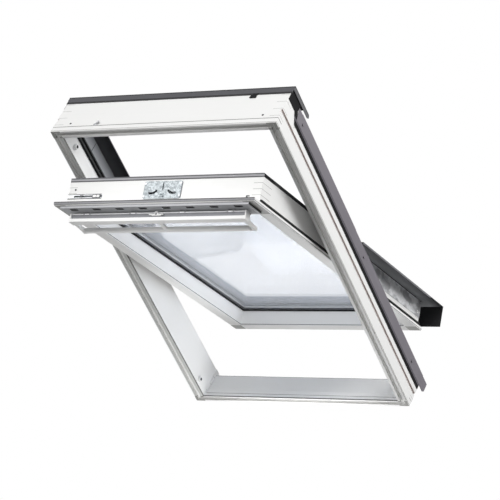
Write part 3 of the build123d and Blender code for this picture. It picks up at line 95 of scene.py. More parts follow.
away = Vector((sin(TURN) * cos(TILT), -cos(TURN) * cos(TILT), sin(TILT)))
side = Vector((cos(TURN), sin(TURN), 0))
camera = bpy.data.objects.new("camera", bpy.data.cameras.new("camera"))
camera.data.lens = LENS_MM
camera.data.sensor_width = SENSOR_MM
facing = Matrix((side, away.cross(side), away)).transposed().to_4x4()
camera.matrix_world = Matrix.Translation(AIM + away * DISTANCE) @ facing @ Matrix.Rotation(ROLL, 4, "Z")
bpy.context.scene.collection.objects.link(camera)
bpy.context.scene.camera = camera
bpy.context.scene.view_settings.view_transform = "Standard"
print("camera at", [round(v, 3) for v in camera.matrix_world.translation])

# %% [markdown]
# ## Colours and nodes
# Colours are written as the hex values that an image editor shows. Blender's shaders count light,
# so one function turns a hex value to linear. Another adds a node to a material, with its settings
# and its links in one line. The rest are short names for the nodes that we need most.

# %% Colour and node helpers
def linear(hex_colour):
    """A hex colour as Blender's linear red, green, blue and alpha."""
    parts = [int(hex_colour[i:i + 2], 16) / 255 for i in (1, 3, 5)]
    return [p / 12.92 if p <= 0.04045 else ((p + 0.055) / 1.055) ** 2.4 for p in parts] + [1.0]


def add(tree, kind, links=None, **settings):
    """Adds a node with its settings; each input, by name or number, is a value or another's output."""
    new = tree.nodes.new(kind)
    for name, value in settings.items():
        setattr(new, name, value)
    for name, value in (links or {}).items():
        if isinstance(value, bpy.types.NodeSocket):
            tree.links.new(value, new.inputs[name])
        else:
            new.inputs[name].default_value = value
    return new


def calculate(tree, operation, *values):
    """The result of arithmetic on numbers."""
    return add(tree, "ShaderNodeMath", dict(enumerate(values)), operation=operation).outputs[0]


def vector_math(tree, operation, *values):
    """The results of arithmetic on vectors: a Vector and, where the operation gives a number, a Value."""
    return add(tree, "ShaderNodeVectorMath", dict(enumerate(values)), operation=operation).outputs


def distance(tree, place, centre, across):
    """How far a place is from a centre, with each axis weighed by across."""
    off = vector_math(tree, "SUBTRACT", place, centre)["Vector"]
    weighed = vector_math(tree, "MULTIPLY", off, across)["Vector"]
    return vector_math(tree, "LENGTH", weighed)["Value"]


def ramp(tree, value, start, end, first=0.0, last=1.0, kind="LINEAR"):
    """Goes from first to last while a value goes from start to end."""
    return add(tree, "ShaderNodeMapRange", {
        "Value": value, "From Min": start, "From Max": end, "To Min": first, "To Max": last,
    }, interpolation_type=kind).outputs[0]


# %% [markdown]
# ## Floor and sky
# The picture has a plain white ground. A pale round floor lies well below the window, because the
# window hangs in a roof. Near its rim the floor turns into the white of the sky, so it has no edge,
# while the middle keeps the window's shadow. What the camera sees of the sky is white, in reflections
# and through the glass too, but the sky lights the window only softly.

# %% Floor
FLOOR_DROP, FLOOR_RADIUS, FLOOR_SIDES = 0.75, 2.6, 96
GLOW_START, GLOW_END, GLOW_LEAST = 0.9, FLOOR_RADIUS - 0.1, 0.5
middle = (Vector(cad_box[0]) + Vector(cad_box[1])) / 2
floor_height = cad_box[0][2] - FLOOR_DROP
floor_mesh = bpy.data.meshes.new("floor")
floor = bpy.data.objects.new("floor", floor_mesh)
bpy.context.scene.collection.objects.link(floor)
shape = bmesh.new()
bmesh.ops.create_circle(shape, cap_ends=True, segments=FLOOR_SIDES, radius=FLOOR_RADIUS)
bmesh.ops.translate(shape, verts=shape.verts, vec=(middle.x, middle.y, floor_height))
shape.to_mesh(floor_mesh)
shape.free()


def seen(tree):
    """1 for what the camera sees, also in a reflection or through glass, and 0 for what only lights."""
    path = add(tree, "ShaderNodeLightPath").outputs
    direct = calculate(tree, "MAXIMUM", path["Is Camera Ray"], path["Is Glossy Ray"])
    return calculate(tree, "MAXIMUM", direct, path["Is Transmission Ray"])


pale_floor = bpy.data.materials.new("pale_floor")
pale_floor.use_nodes = True
tree = pale_floor.node_tree
tree.nodes.remove(tree.nodes["Principled BSDF"])
where = add(tree, "ShaderNodeTexCoord").outputs["Object"]
reach = distance(tree, where, (middle.x, middle.y, 0), (1, 1, 0))
rim = ramp(tree, reach, GLOW_START, GLOW_END, GLOW_LEAST, 1.0, "SMOOTHSTEP")
glow_level = calculate(tree, "MULTIPLY", rim, seen(tree))
matt = add(tree, "ShaderNodeBsdfDiffuse", {"Color": linear("#8c8c8c")})
glow = add(tree, "ShaderNodeEmission", {"Color": linear("#ffffff"), "Strength": glow_level})
surface = add(tree, "ShaderNodeAddShader", {0: matt.outputs[0], 1: glow.outputs[0]})
tree.links.new(surface.outputs[0], tree.nodes["Material Output"].inputs["Surface"])
floor_mesh.materials.append(pale_floor)
print("floor at", round(floor_height, 3))

# %% Sky
SKY_LIGHT = 0.03
world = bpy.data.worlds.new("studio")
bpy.context.scene.world = world
world.use_nodes = True
tree = world.node_tree
level = ramp(tree, seen(tree), 0.0, 1.0, SKY_LIGHT, 1.0)
tree.links.new(level, tree.nodes["Background"].inputs["Strength"])
tree.nodes["Background"].inputs["Color"].default_value = linear("#ffffff")

# %% [markdown]
# ## Lamps
# A large lamp stands in front and above, with a weaker one to its left. A third shines from behind on
# the right, across the opening, so the right side is bright while the sash's right stile falls into
# the shade of the frame. Two small weak ones, low down and in front of the control bar, do the work of
# white cards that throw light back up. Each was first rendered alone and weighed against the picture's
# tones. The powers were then set so that most of the white lacquer stays short of pure white.

# %% Lamps
LAMPS = {  # the place from the window's middle and the size in metres, and the power in watts
    "front_lamp": ((1.0, -3.2, 3.0), 2.4, 124.0),
    "left_lamp": ((-1.8, -3.4, 2.2), 2.4, 40.0),
    "back_lamp": ((3.2, 1.6, 1.9), 2.2, 150.0),
    "sill_card": ((0.0, 0.08, -0.75), 0.5, 3.1),
    "bar_card": ((0.0, -0.72, -0.02), 0.5, 0.42),
}
for name, (place, size, power) in LAMPS.items():
    lamp = bpy.data.lights.new(name, "AREA")
    lamp.size = size
    lamp.energy = power
    holder = bpy.data.objects.new(name, lamp)
    holder.location = middle + Vector(place)
    holder.rotation_euler = Vector(place).to_track_quat("Z", "Y").to_euler()
    holder.visible_camera = False
    bpy.context.scene.collection.objects.link(holder)
print("lamps:", ", ".join(LAMPS))

# %% [markdown]
# ## Finishes
# Each finish starts from the real material. A pattern reads Object coordinates, which are the
# world's here, because every solid's object sits at the origin. A Mapping node of the Texture kind
# turns them to the roof's or the sash's axes, still in metres, and a division by a real size gives
# the pattern.

# %% Start of a finish
def start_finish(name, axes):
    """A new material: itself, its tree, its shader, and the place along the axes in metres."""
    finish = bpy.data.materials.new(name)
    finish.use_nodes = True
    tree = finish.node_tree
    place = add(tree, "ShaderNodeMapping", {
        "Vector": add(tree, "ShaderNodeTexCoord").outputs["Object"],
        "Location": axes.translation,
        "Rotation": axes.to_euler(),
    }, vector_type="TEXTURE")
    return finish, tree, tree.nodes["Principled BSDF"], place.outputs[0]


def axis_values(tree, place):
    """The three numbers of a place, named X, Y and Z."""
    return add(tree, "ShaderNodeSeparateXYZ", {"Vector": place}).outputs


def in_sizes(tree, place, sizes):
    """The place counted in pattern sizes, given in millimetres along the three axes."""
    return vector_math(tree, "DIVIDE", place, tuple(s / 1000 for s in sizes))["Vector"]


def noise(tree, place, sizes, detail=2.0):
    """Soft noise, with clouds of the given sizes."""
    return add(tree, "ShaderNodeTexNoise", {
        "Vector": in_sizes(tree, place, sizes), "Scale": 1.0, "Detail": detail,
    }).outputs["Fac"]


def tones(tree, factor, first, second):
    """A colour between two others, each a hex tone or an output."""
    mix = add(tree, "ShaderNodeMix", {"Factor": factor}, data_type="RGBA")
    for number, tone in ((6, first), (7, second)):
        if isinstance(tone, str):
            mix.inputs[number].default_value = linear(tone)
        else:
            tree.links.new(tone, mix.inputs[number])
    return mix.outputs[2]


def paint(tree, shader, colour):
    """Gives the shader its colour, in place of an earlier one."""
    tree.links.new(colour, shader.inputs["Base Color"])


def emboss(tree, shader, height, strength, depth):
    """Lets the light play on a fine pattern, as if it were raised by a depth in metres."""
    bump = add(tree, "ShaderNodeBump", {"Height": height, "Strength": strength, "Distance": depth})
    tree.links.new(bump.outputs[0], shader.inputs["Normal"])


def wear(finish, *names):
    """Puts a finish on CAD solids."""
    for name in names:
        nodes[name].data.materials.clear()
        nodes[name].data.materials.append(finish)


# %% [markdown]
# Some finishes change at a known place: a seam, a fold, an edge. A test on the place makes such a mask,
# 1 on the spot and 0 elsewhere, and masks combine by arithmetic.

# %% Masks from a place
FACING_LEVEL = 0.7  # the cosine of about 45 degrees


def between(tree, value, low, high):
    """1 where a value lies between two levels."""
    return calculate(tree, "COMPARE", value, (low + high) / 2, (high - low) / 2)


def beyond(tree, value, level):
    """1 where a value, whatever its sign, is larger than a level."""
    return calculate(tree, "GREATER_THAN", calculate(tree, "ABSOLUTE", value), level)


def both(tree, first, second):
    """1 where two masks are 1."""
    return calculate(tree, "MULTIPLY", first, second)


def round_spot(tree, place, centre, across, radius):
    """1 within a radius of a centre, with each axis weighed by across."""
    return between(tree, distance(tree, place, centre, across), -radius, radius)


def looks_along(tree, axes, direction):
    """1 on faces that look along a direction of the axes."""
    normal = add(tree, "ShaderNodeTexCoord").outputs["Normal"]
    look = axes.to_3x3() @ Vector(direction)
    cosine = vector_math(tree, "DOT_PRODUCT", normal, look)["Value"]
    return calculate(tree, "GREATER_THAN", cosine, FACING_LEVEL)


# %% [markdown]
# ### White lacquered pine
# The frame and sash are pine under a thick white lacquer. The lacquer is even, so the wood only shows
# as a faint ripple along the grain, some 3 mm wide and far longer, and as a slight change of tone. At
# the corners the fingers of the joints telegraph through as hair lines, in rows of one height past the
# shoulder of the joint. Painted shade darkens the holes, a band along the inner edge, lines along the
# room edges and in the score groove, and the jambs' room face. The groove on the jambs' outer faces
# has brownish edges. The joint lines are drawn about 1 mm wide and the lines along the edges about
# 2 mm, so that they show at this size.

# %% White lacquered pine
HAIR_LINE = 0.0012
INNER_EDGE_SHADE_HEIGHT = (0.0008, 0.0056)
HOLE_RADIUS = 0.0036
HOLE_ACROSS = (1, 0.1, 1)  # a hole is shallow, so its depth along y hardly counts


def finger_lines(tree, run, rise, joint):
    """Hair lines of a finger joint, from the place along the timber and across its rows."""
    row, start, centre, shoulder = joint
    count = calculate(tree, "MULTIPLY_ADD", rise, 1 / row, 0.5 - start / row)
    part = calculate(tree, "FRACT", count)
    half = HAIR_LINE / 2 / row
    past = beyond(tree, calculate(tree, "SUBTRACT", run, centre), shoulder)
    return both(tree, between(tree, part, 0.5 - half, 0.5 + half), past)


def white_lacquered_pine(name, axes, along, joint, edge_lines_and_shade, inner_edge_shade=None, hole_shades=()):
    """Lacquered timber whose grain runs along x or y of its axes."""
    finish, tree, shader, place = start_finish(name, axes)
    split = axis_values(tree, place)
    fibre = noise(tree, place, (500, 3, 3) if along == "X" else (3, 500, 3), 4.0)
    lacquer = tones(tree, fibre, "#f0f0ee", "#f8f8f7")
    lacquer = tones(tree, noise(tree, place, (90, 90, 90)), lacquer, "#f6f6f5")
    lacquer = tones(tree, finger_lines(tree, split[along], split["Z"], joint), lacquer, "#a2a29f")
    # Lines along the edges: mostly painted shade, and on the jambs the brownish edges of their groove.
    for low, high, reach, tone in edge_lines_and_shade:
        line = both(tree, between(tree, split["Z"], low, high), beyond(tree, split["X"], reach))
        lacquer = tones(tree, line, lacquer, tone)
    # Painted shade in a band along the inner edge, just above the room face.
    if inner_edge_shade:
        axis, low, high = inner_edge_shade
        out = calculate(tree, "ABSOLUTE", split[axis])
        inside = both(tree, between(tree, out, low, high), between(tree, split["Z"], *INNER_EDGE_SHADE_HEIGHT))
        lacquer = tones(tree, inside, lacquer, "#6c6c6a")
    # Painted shade in the holes.
    for hole in hole_shades:
        lacquer = tones(tree, round_spot(tree, place, hole, HOLE_ACROSS, HOLE_RADIUS), lacquer, "#262626")
    paint(tree, shader, lacquer)
    emboss(tree, shader, fibre, 0.12, 0.0003)
    shader.inputs["Roughness"].default_value = 0.42
    shader.inputs["IOR"].default_value = 1.5
    return finish


# A joint: the height of a row, where the rows start, the timber's middle, and the shoulder from there.
FRAME_ROW, SASH_ROW, SASH_ROOM = 0.03025, 0.0186, 0.043
rail_joint, jamb_joint = (FRAME_ROW, 0, 0, 0.357), (FRAME_ROW, 0, 0.0025, 0.5635)
top_joint, stile_joint = (SASH_ROW, SASH_ROOM, 0, 0.305), (SASH_ROW, SASH_ROOM, 0.027, 0.489)
rail_inner_edge_shade, jamb_inner_edge_shade = ("Y", 0.5550, 0.5685), ("X", 0.3500, 0.3585)
top_hole_shades = [(-0.333, -0.59, 0.034), (0.333, -0.59, 0.034)]

# A line along an edge: its lower and upper z, how far out in x it starts, and its tone. The grey
# lines are painted shade along the room edges, in the score groove and over the jambs' room face; the
# jambs' last three are the brownish edges and the floor of their groove.
rail_shade_lines = [(0.0024, 0.0044, 0, "#a4a4a1"), (0.0186, 0.0209, 0, "#8a8a88")]
jamb_lines_and_shade = [
    (-0.0010, 0.0008, 0, "#d2d2d0"),
    (0.0024, 0.0044, 0, "#a4a4a1"),
    (0.0441, 0.0451, 0.3835, "#c8bcb8"),
    (0.0451, 0.0549, 0.3835, "#f4f0ee"),
    (0.0549, 0.0559, 0.3835, "#c9bdb9"),
]
sash_edge_shade = [(0.0457, 0.0479, 0, "#6e6e6e")]

pine = "white_lacquered_pine_"
wear(white_lacquered_pine(pine + "rail", roof, "X", rail_joint, rail_shade_lines, rail_inner_edge_shade, top_hole_shades),
     "frame_top_member", "frame_bottom_member")
wear(white_lacquered_pine(pine + "jamb", roof, "Y", jamb_joint, jamb_lines_and_shade, jamb_inner_edge_shade),
     "frame_left_jamb", "frame_right_jamb")
wear(white_lacquered_pine(pine + "sash_rail", sash, "X", top_joint, sash_edge_shade),
     "sash_top_rail", "sash_bottom_rail")
wear(white_lacquered_pine(pine + "sash_stile", sash, "Y", stile_joint, sash_edge_shade),
     "sash_left_stile", "sash_right_stile")
print("timber pieces: 8, rows of fingers:", FRAME_ROW, SASH_ROW)

# %% [markdown]
# ### Coated aluminium sheet
# The covers outside are thin aluminium with a baked grey coat. Up close the coat has a fine orange
# peel, about 2 mm from bump to bump, and it is a touch paler in places. The inside of the sheet lies in
# shade, so it is painted darker as painted shade, in places nearly black, and the narrow edge that
# stands on the sash's stiles is painted nearly black too. Which side a face is on can be read from its
# normal in the object's own axes, which turn with the sash.

# %% Coated aluminium
def coated_aluminium(name, axes, dark, pale, inside=(), bands=()):
    """Coated sheet with bands of another tone between two levels of z, and painted shade on inner faces.

    Each painted shade has the direction that its faces look along, how far out in x it reaches, and a
    tone or a fade between two tones: from where, the first tone, to where, the second tone.
    """
    finish, tree, shader, place = start_finish(name, axes)
    split = axis_values(tree, place)
    coat = tones(tree, noise(tree, place, (70, 70, 70)), dark, pale)
    for low, high, tone in bands:
        coat = tones(tree, between(tree, split["Z"], low, high), coat, tone)
    out = calculate(tree, "ABSOLUTE", split["X"])
    # Painted shade on the inner faces, where little light reaches.
    for direction, reach, tone in inside:
        if not isinstance(tone, str):
            near, near_tone, far, far_tone = tone
            tone = tones(tree, ramp(tree, out, near, far), near_tone, far_tone)
        hidden = calculate(tree, "LESS_THAN", out, reach)
        coat = tones(tree, both(tree, looks_along(tree, axes, direction), hidden), coat, tone)
    paint(tree, shader, coat)
    emboss(tree, shader, noise(tree, place, (2, 2, 2)), 0.15, 0.0002)
    shader.inputs["Roughness"].default_value = 0.5
    shader.inputs["Specular IOR Level"].default_value = 0.3
    return finish


ALL, STILE_SIDE = 1.0, 0.34
BLACK_LEG = "#1a1a1c"
# Painted shade on the covers' inner faces: under the sash's wings it fades from grey by the side plates to
# black at the outer lip, and the inside of the sash's bottom fold takes the near-black tone as shade; so do
# the narrow edges on the stiles.
FRAME_SHADE_FADE, SASH_SHADE_FADE = (0.333, "#101012", 0.357, "#343437"), (0.345, "#9c9ea1", 0.384, "#202022")
frame_inside_shade = [((0, 0, -1), ALL, FRAME_SHADE_FADE)]
sash_inside_shade = [
    ((0, 0, -1), ALL, SASH_SHADE_FADE), ((0, -1, 0), ALL, BLACK_LEG),
    ((1, 0, 0), STILE_SIDE, BLACK_LEG), ((-1, 0, 0), STILE_SIDE, BLACK_LEG),
]
top_bands = [(0.124, 0.1315, "#19191b"), (0.1495, 0.156, "#222224")]
# The pale middle band of the sash's top lip is a painted highlight between two darker bands.
lip_bands_and_highlight = [(0.1345, 0.1378, "#56565a"), (0.1378, 0.1432, "#a6a6a9"), (0.1432, 0.1475, "#5b5b5f")]

wear(coated_aluminium("coated_aluminium_grey", roof, "#6b676e", "#767279", frame_inside_shade),
     "frame_left_cover", "frame_right_cover", "frame_bottom_cover", "cover_screws")
wear(coated_aluminium("coated_aluminium_dark", roof, "#49494d", "#535357", bands=top_bands),
     "frame_top_cover")
wear(coated_aluminium("coated_aluminium_sash", sash, "#5f5e63", "#6b6a70", sash_inside_shade),
     "sash_left_cover", "sash_right_cover", "sash_bottom_cover")
wear(coated_aluminium("coated_aluminium_top_lip", sash, "#6c6c6f", "#7c7c7f", bands=lip_bands_and_highlight),
     "sash_top_cover")

# %% [markdown]
# ### Bare aluminium
# The vent rail, the bar's rail, the liners and the spacer between the panes are drawn aluminium.
# Drawing leaves long fine lines, here 1 mm apart and much longer. The metal is dull, so it is not
# fully mirror-like. A liner is darker outwards, away from the light, and has a joint across it. The
# slots of the vent rail lead into the dark, so they are darkened round their rims too. The bar's rail
# has a painted highlight along its rim, and black butyl lies along both sides of the spacer.

# %% Bare aluminium
def drawn_aluminium(name, axes, along, dark, pale, roughness, metallic):
    """Aluminium with draw lines along x or y of its axes; also gives its tree, shader, tone and place."""
    finish, tree, shader, place = start_finish(name, axes)
    lines = noise(tree, place, (300, 1, 1) if along == "X" else (1, 300, 1), 3.0)
    metal = tones(tree, lines, dark, pale)
    paint(tree, shader, metal)
    emboss(tree, shader, lines, 0.1, 0.0001)
    shader.inputs["Metallic"].default_value = metallic
    shader.inputs["Roughness"].default_value = roughness
    return finish, tree, shader, metal, place


SLOT_PITCH, SLOT_PART, SLOT_ACROSS = 0.081, 0.16, (-0.5475, -0.5335)
finish, tree, shader, metal, place = drawn_aluminium(
    "drawn_aluminium_vent", sash, "X", "#9a9b9e", "#adaeb1", 0.5, 0.4)
split = axis_values(tree, place)
part = calculate(tree, "FRACT", calculate(tree, "DIVIDE", split["X"], SLOT_PITCH))
slot_run = between(tree, part, 0.5 - SLOT_PART, 0.5 + SLOT_PART)
slots = both(tree, slot_run, between(tree, split["Y"], *SLOT_ACROSS))
paint(tree, shader, tones(tree, slots, metal, "#1d1d1f"))
wear(finish, "vent_rail")

RAIL_HIGHLIGHT = (0.0272, 0.0302)
finish, tree, shader, metal, place = drawn_aluminium(
    "drawn_aluminium_bar", sash, "X", "#707174", "#85868a", 0.45, 0.6)
# A painted highlight along the rail's upper rim.
rim = between(tree, axis_values(tree, place)["Z"], *RAIL_HIGHLIGHT)
paint(tree, shader, tones(tree, rim, metal, "#eceded"))
wear(finish, "bar_rail")

LINER_SHADE, LINER_JOINT = (0.085, 0.121), (-0.4378, -0.4352)
finish, tree, shader, metal, place = drawn_aluminium(
    "drawn_aluminium_liner", roof, "Y", "#6d6f73", "#808286", 0.5, 0.5)
split = axis_values(tree, place)
metal = tones(tree, ramp(tree, split["Z"], *LINER_SHADE), metal, "#3a3b3e")
metal = tones(tree, between(tree, split["Y"], *LINER_JOINT), metal, "#161618")
paint(tree, shader, metal)
wear(finish, "frame_left_liner", "frame_right_liner")

CAVITY_MIDDLE, BUTYL_EDGE = 0.105, 0.0026
finish, tree, shader, metal, place = drawn_aluminium(
    "drawn_aluminium_spacer", sash, "X", "#b9bcbf", "#c9ccce", 0.5, 0.4)
height = calculate(tree, "SUBTRACT", axis_values(tree, place)["Z"], CAVITY_MIDDLE)
paint(tree, shader, tones(tree, beyond(tree, height, BUTYL_EDGE), metal, "#141415"))
wear(finish, "glass_spacer")

# %% [markdown]
# ### Galvanised and zinc-plated steel
# Hot-dip galvanising leaves spangles, flat crystals 5 mm or so across that each catch the light a
# little differently. The side plates are dull and stained, and are coloured paler than zinc is, because
# little light reaches them. Thin electroplated zinc has no spangles, and is only a soft grey shine. The
# bolt's tray is bright, with painted shade round its edges for the gap where it is let into the wood.

# %% Galvanised steel
def galvanised_steel(name, size, dark, pale, metallic):
    """Spangled zinc with crystals of a size in millimetres; also gives its tree, shader, tone and place."""
    finish, tree, shader, place = start_finish(name, sash)
    spangle = add(tree, "ShaderNodeTexVoronoi", {
        "Vector": in_sizes(tree, place, (size, size, size)), "Scale": 1.0,
    })
    flake = add(tree, "ShaderNodeSeparateColor", {"Color": spangle.outputs["Color"]}).outputs
    zinc = tones(tree, flake[0], dark, pale)
    paint(tree, shader, zinc)
    tree.links.new(ramp(tree, flake[1], 0.0, 1.0, 0.42, 0.52), shader.inputs["Roughness"])
    shader.inputs["Metallic"].default_value = metallic
    return finish, tree, shader, zinc, place


LOCK_EDGE_SHADE = 0.0635
finish, tree, shader, zinc, place = galvanised_steel(
    "galvanised_steel_lock", 5, "#8a9195", "#c9d0d3", 0.35)
# The plate's two ends are painted darker, as painted shade on its raised edges.
edge = beyond(tree, axis_values(tree, place)["X"], LOCK_EDGE_SHADE)
paint(tree, shader, tones(tree, edge, zinc, "#70757a"))
wear(finish, "lock_plate", "lock_case")

STAIN_LEVELS = (0.5, 0.62)
finish, tree, shader, zinc, place = galvanised_steel(
    "galvanised_steel_side_plate", 6, "#dcdde0", "#f0f1f3", 0.1)
stain = ramp(tree, noise(tree, place, (35, 60, 30), 3.0), *STAIN_LEVELS)
paint(tree, shader, tones(tree, stain, zinc, "#a6a7aa"))
wear(finish, "sash_left_side_plate", "sash_right_side_plate", "side_plate_rivets")

# %% Zinc-plated steel
def zinc_plated_steel(name, dark, pale, metallic):
    """Bright zinc with a slight haze; also gives its tree, shader, tone and place."""
    finish, tree, shader, place = start_finish(name, sash)
    haze = noise(tree, place, (4, 4, 4), 4.0)
    zinc = tones(tree, haze, dark, pale)
    paint(tree, shader, zinc)
    tree.links.new(ramp(tree, haze, 0.0, 1.0, 0.22, 0.4), shader.inputs["Roughness"])
    shader.inputs["Metallic"].default_value = metallic
    return finish, tree, shader, zinc, place


bright_zinc = zinc_plated_steel("zinc_plated_steel", "#a0a2a4", "#bcbec0", 1.0)[0]
wear(
    bright_zinc,
    "left_hinge_frame_plate", "right_hinge_frame_plate", "left_hinge_sash_plate", "right_hinge_sash_plate",
    "frame_hinge_screws", "sash_hinge_screws", "lock_screws", "bar_hinge_rod", "lock_keeper",
)
dark_zinc = zinc_plated_steel("zinc_plated_steel_dark", "#3a3c3e", "#55575a", 0.8)[0]
wear(dark_zinc, "latch_left", "latch_right", "barrel_bolt")

TRAY_MIDDLE, TRAY_GAP_SHADE = 0.088, 0.0055
finish, tree, shader, zinc, place = zinc_plated_steel("zinc_plated_steel_tray", "#e2e4e6", "#f0f1f2", 0.25)
height = calculate(tree, "SUBTRACT", axis_values(tree, place)["Z"], TRAY_MIDDLE)
# Painted shade along the tray's edges, for the gap where it is let into the wood.
paint(tree, shader, tones(tree, beyond(tree, height, TRAY_GAP_SHADE), zinc, "#37393b"))
wear(finish, "bolt_tray")

# %% [markdown]
# ### Rubber and plastic
# The seals are EPDM rubber, extruded and matt, with a bloom that greys it here and there: black round
# the glass and grey along the ledge. The upper 6 mm of a side seal takes the grey of the cover beside
# it, so that its black shows as a band some 13 mm wide. The control bar is white moulded ABS with a
# fine satin grain. The bolt's bushes are the same, with painted shade down their bore. The brake rings
# are black nylon.

# %% Rubber and plastics
def moulded(name, axes, grain, dark, pale, roughness, depth, gloss=0.5):
    """Two near tones and a fine grain in millimetres; also gives its tree, shader, tone and place."""
    finish, tree, shader, place = start_finish(name, axes)
    body = tones(tree, noise(tree, place, (20, 20, 20)), dark, pale)
    paint(tree, shader, body)
    emboss(tree, shader, noise(tree, place, (grain, grain, grain)), 0.15, depth)
    shader.inputs["Roughness"].default_value = roughness
    shader.inputs["Specular IOR Level"].default_value = gloss
    return finish, tree, shader, body, place


black_rubber = moulded("epdm_rubber_black", roof, 1.0, "#0e0e0f", "#18181a", 0.8, 0.0002)[0]
white_abs = moulded("moulded_abs_white", sash, 0.8, "#f3f3f2", "#f9f9f8", 0.34, 0.0001)[0]
black_nylon = moulded("moulded_nylon_black", roof, 0.8, "#0c0c0d", "#171719", 0.5, 0.0001, 0.1)[0]
wear(
    black_rubber,
    "frame_left_gasket", "frame_right_gasket", "inner_glazing_gasket", "outer_glazing_gasket",
    "glass_edge_seal", "sash_left_gasket", "sash_right_gasket",
)
wear(white_abs, "control_bar", "grip_bar", "bar_centre_bracket")
wear(black_nylon, "left_hinge_brake", "right_hinge_brake")

LEDGE_BAND = (0.0512, 0.06)
finish, tree, shader, body, place = moulded(
    "epdm_rubber_ledge", sash, 1.0, "#88888c", "#98989b", 0.6, 0.0002)
band = between(tree, axis_values(tree, place)["Z"], *LEDGE_BAND)
paint(tree, shader, tones(tree, band, body, "#3a3a3d"))
wear(finish, "sash_top_seal")

GREY_PART = (0.0862, 0.0925)
finish, tree, shader, body, place = moulded(
    "epdm_rubber_side", roof, 1.0, "#0e0e0f", "#18181a", 0.8, 0.0002, 0.1)
band = between(tree, axis_values(tree, place)["Z"], *GREY_PART)
paint(tree, shader, tones(tree, band, body, "#66636a"))
wear(finish, "frame_left_side_seal", "frame_right_side_seal")

BUSHES, BORE_SHADE = ((0.5090, 0.0221), (-0.5012, 0.0300)), 0.0052
finish, tree, shader, body, place = moulded(
    "moulded_abs_bush", roof, 0.8, "#f3f3f2", "#f9f9f8", 0.34, 0.0001)
for down, out in BUSHES:
    # Painted shade down each bush's bore.
    body = tones(tree, round_spot(tree, place, (0, down, out), (0, 1, 1), BORE_SHADE), body, "#4a4845")
paint(tree, shader, body)
wear(finish, "bolt_bushes")

# %% [markdown]
# ### Float glass
# Two clear panes with a sealed gap. Float glass is slightly blue. Part of the light goes straight
# through by the shader's alpha, so that lamps shine through the panes onto the sill, and the rest is
# bent and mirrored. A thin haze of dust, some centimetres from cloud to cloud, changes the tone a little.

# %% Float glass
finish, tree, shader, place = start_finish("float_glass_clear", sash)
paint(tree, shader, tones(tree, noise(tree, place, (80, 80, 80), 4.0), "#cfdcf2", "#d8e3f5"))
shader.inputs["Roughness"].default_value = 0.0
shader.inputs["Transmission Weight"].default_value = 1.0
shader.inputs["IOR"].default_value = 1.52
shader.inputs["Alpha"].default_value = 0.3
wear(finish, "inner_pane", "outer_pane")

# %% [markdown]
# ## Small pieces
# Things too fine for the CAD model: a clip under the top cover, a pin and a screw, the stop of the
# bolt, a hook on the ledge, and the catch and the end brackets of the control bar. Each is drawn in
# millimetres along the roof or the sash, where its sizes are easy to read, and one function turns it
# into a piece in the world.

# %% Making a piece
MILLIMETRES = Matrix.Scale(0.001, 4)
SAME_PLACE = 0.00001


def finish_piece(name, shape, axes, finish, body):
    """Places a shape in the world, closes its seams, and makes it a piece that rides on a body."""
    bmesh.ops.transform(shape, matrix=axes @ MILLIMETRES, verts=shape.verts)
    bmesh.ops.remove_doubles(shape, verts=shape.verts, dist=SAME_PLACE)
    bmesh.ops.recalc_face_normals(shape, faces=shape.faces)
    mesh = bpy.data.meshes.new(name)
    shape.to_mesh(mesh)
    shape.free()
    mesh.materials.append(finish)
    piece = bpy.data.objects.new(name, mesh)
    bpy.context.scene.collection.objects.link(piece)
    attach(piece, body)
    print(name, "faces:", len(mesh.polygons))
    return piece


def rounded_block(shape, low, high, edge):
    """Adds a block between two corners, with rounded edges."""
    low, high = Vector(low), Vector(high)
    corners = bmesh.ops.create_cube(shape, size=1)["verts"]
    bmesh.ops.scale(shape, vec=high - low, verts=corners)
    bmesh.ops.translate(shape, vec=(low + high) / 2, verts=corners)
    edges = list({e for corner in corners for e in corner.link_edges})
    bmesh.ops.bevel(shape, geom=edges, offset=edge, affect="EDGES", segments=2, profile=0.5, material=-1)


# %% [markdown]
# ### Clip of the top cover
# A black spring clip holds the cover's front edge down. It is a small plate on the timber, with a
# tongue through the notch in the cover and a foot turned out for a fingertip.

# %% Cover clip
shape = bmesh.new()
rounded_block(shape, (257, -592.4, 111), (278, -589.9, 124.2), 0.8)
rounded_block(shape, (263, -592.4, 123), (279, -590.2, 130.2), 0.7)
rounded_block(shape, (257, -594.6, 110.5), (278, -591.8, 113.5), 0.8)
finish_piece("cover_clip", shape, roof, black_nylon, "frame")

# %% [markdown]
# ### Pin and screw
# A short pin leans out of the frame's top face, with a collar at its foot. A pan-head screw sits above
# the bolt. Both are turned parts, so a profile of a few points is spun about its axis.

# %% Turned parts
TURN_STEPS = 24


def turned_part(shape, profile, place):
    """Spins a profile of (radius, height) about z and puts it at a place."""
    older = set(shape.verts)
    points = [shape.verts.new((radius, 0, height)) for radius, height in profile]
    edges = [shape.edges.new(pair) for pair in zip(points, points[1:])]
    bmesh.ops.spin(
        shape, geom=points + edges, cent=(0, 0, 0), axis=(0, 0, 1), dvec=(0, 0, 0),
        angle=2 * pi, steps=TURN_STEPS, use_merge=True, use_duplicate=False,
    )
    bmesh.ops.transform(shape, matrix=place, verts=[v for v in shape.verts if v not in older])


out_of_face = Matrix.Rotation(radians(90), 4, "X")
lean = Vector((0.83, -0.45, 0.33)).to_track_quat("Z", "Y").to_matrix().to_4x4()
foot = Matrix.Translation((-240, -590, 24))
collar = [(0, -1), (5.2, -1), (5.2, 1.2), (4.4, 2.0), (0, 2.0)]
pin = [(0, -1), (2.6, -1), (2.6, 13), (3.6, 13.6), (3.6, 16.4), (2.8, 17.4), (0, 17.4)]
shape = bmesh.new()
turned_part(shape, collar, foot @ out_of_face)
turned_part(shape, pin, foot @ lean)
finish_piece("top_face_pin", shape, roof, bright_zinc, "frame")

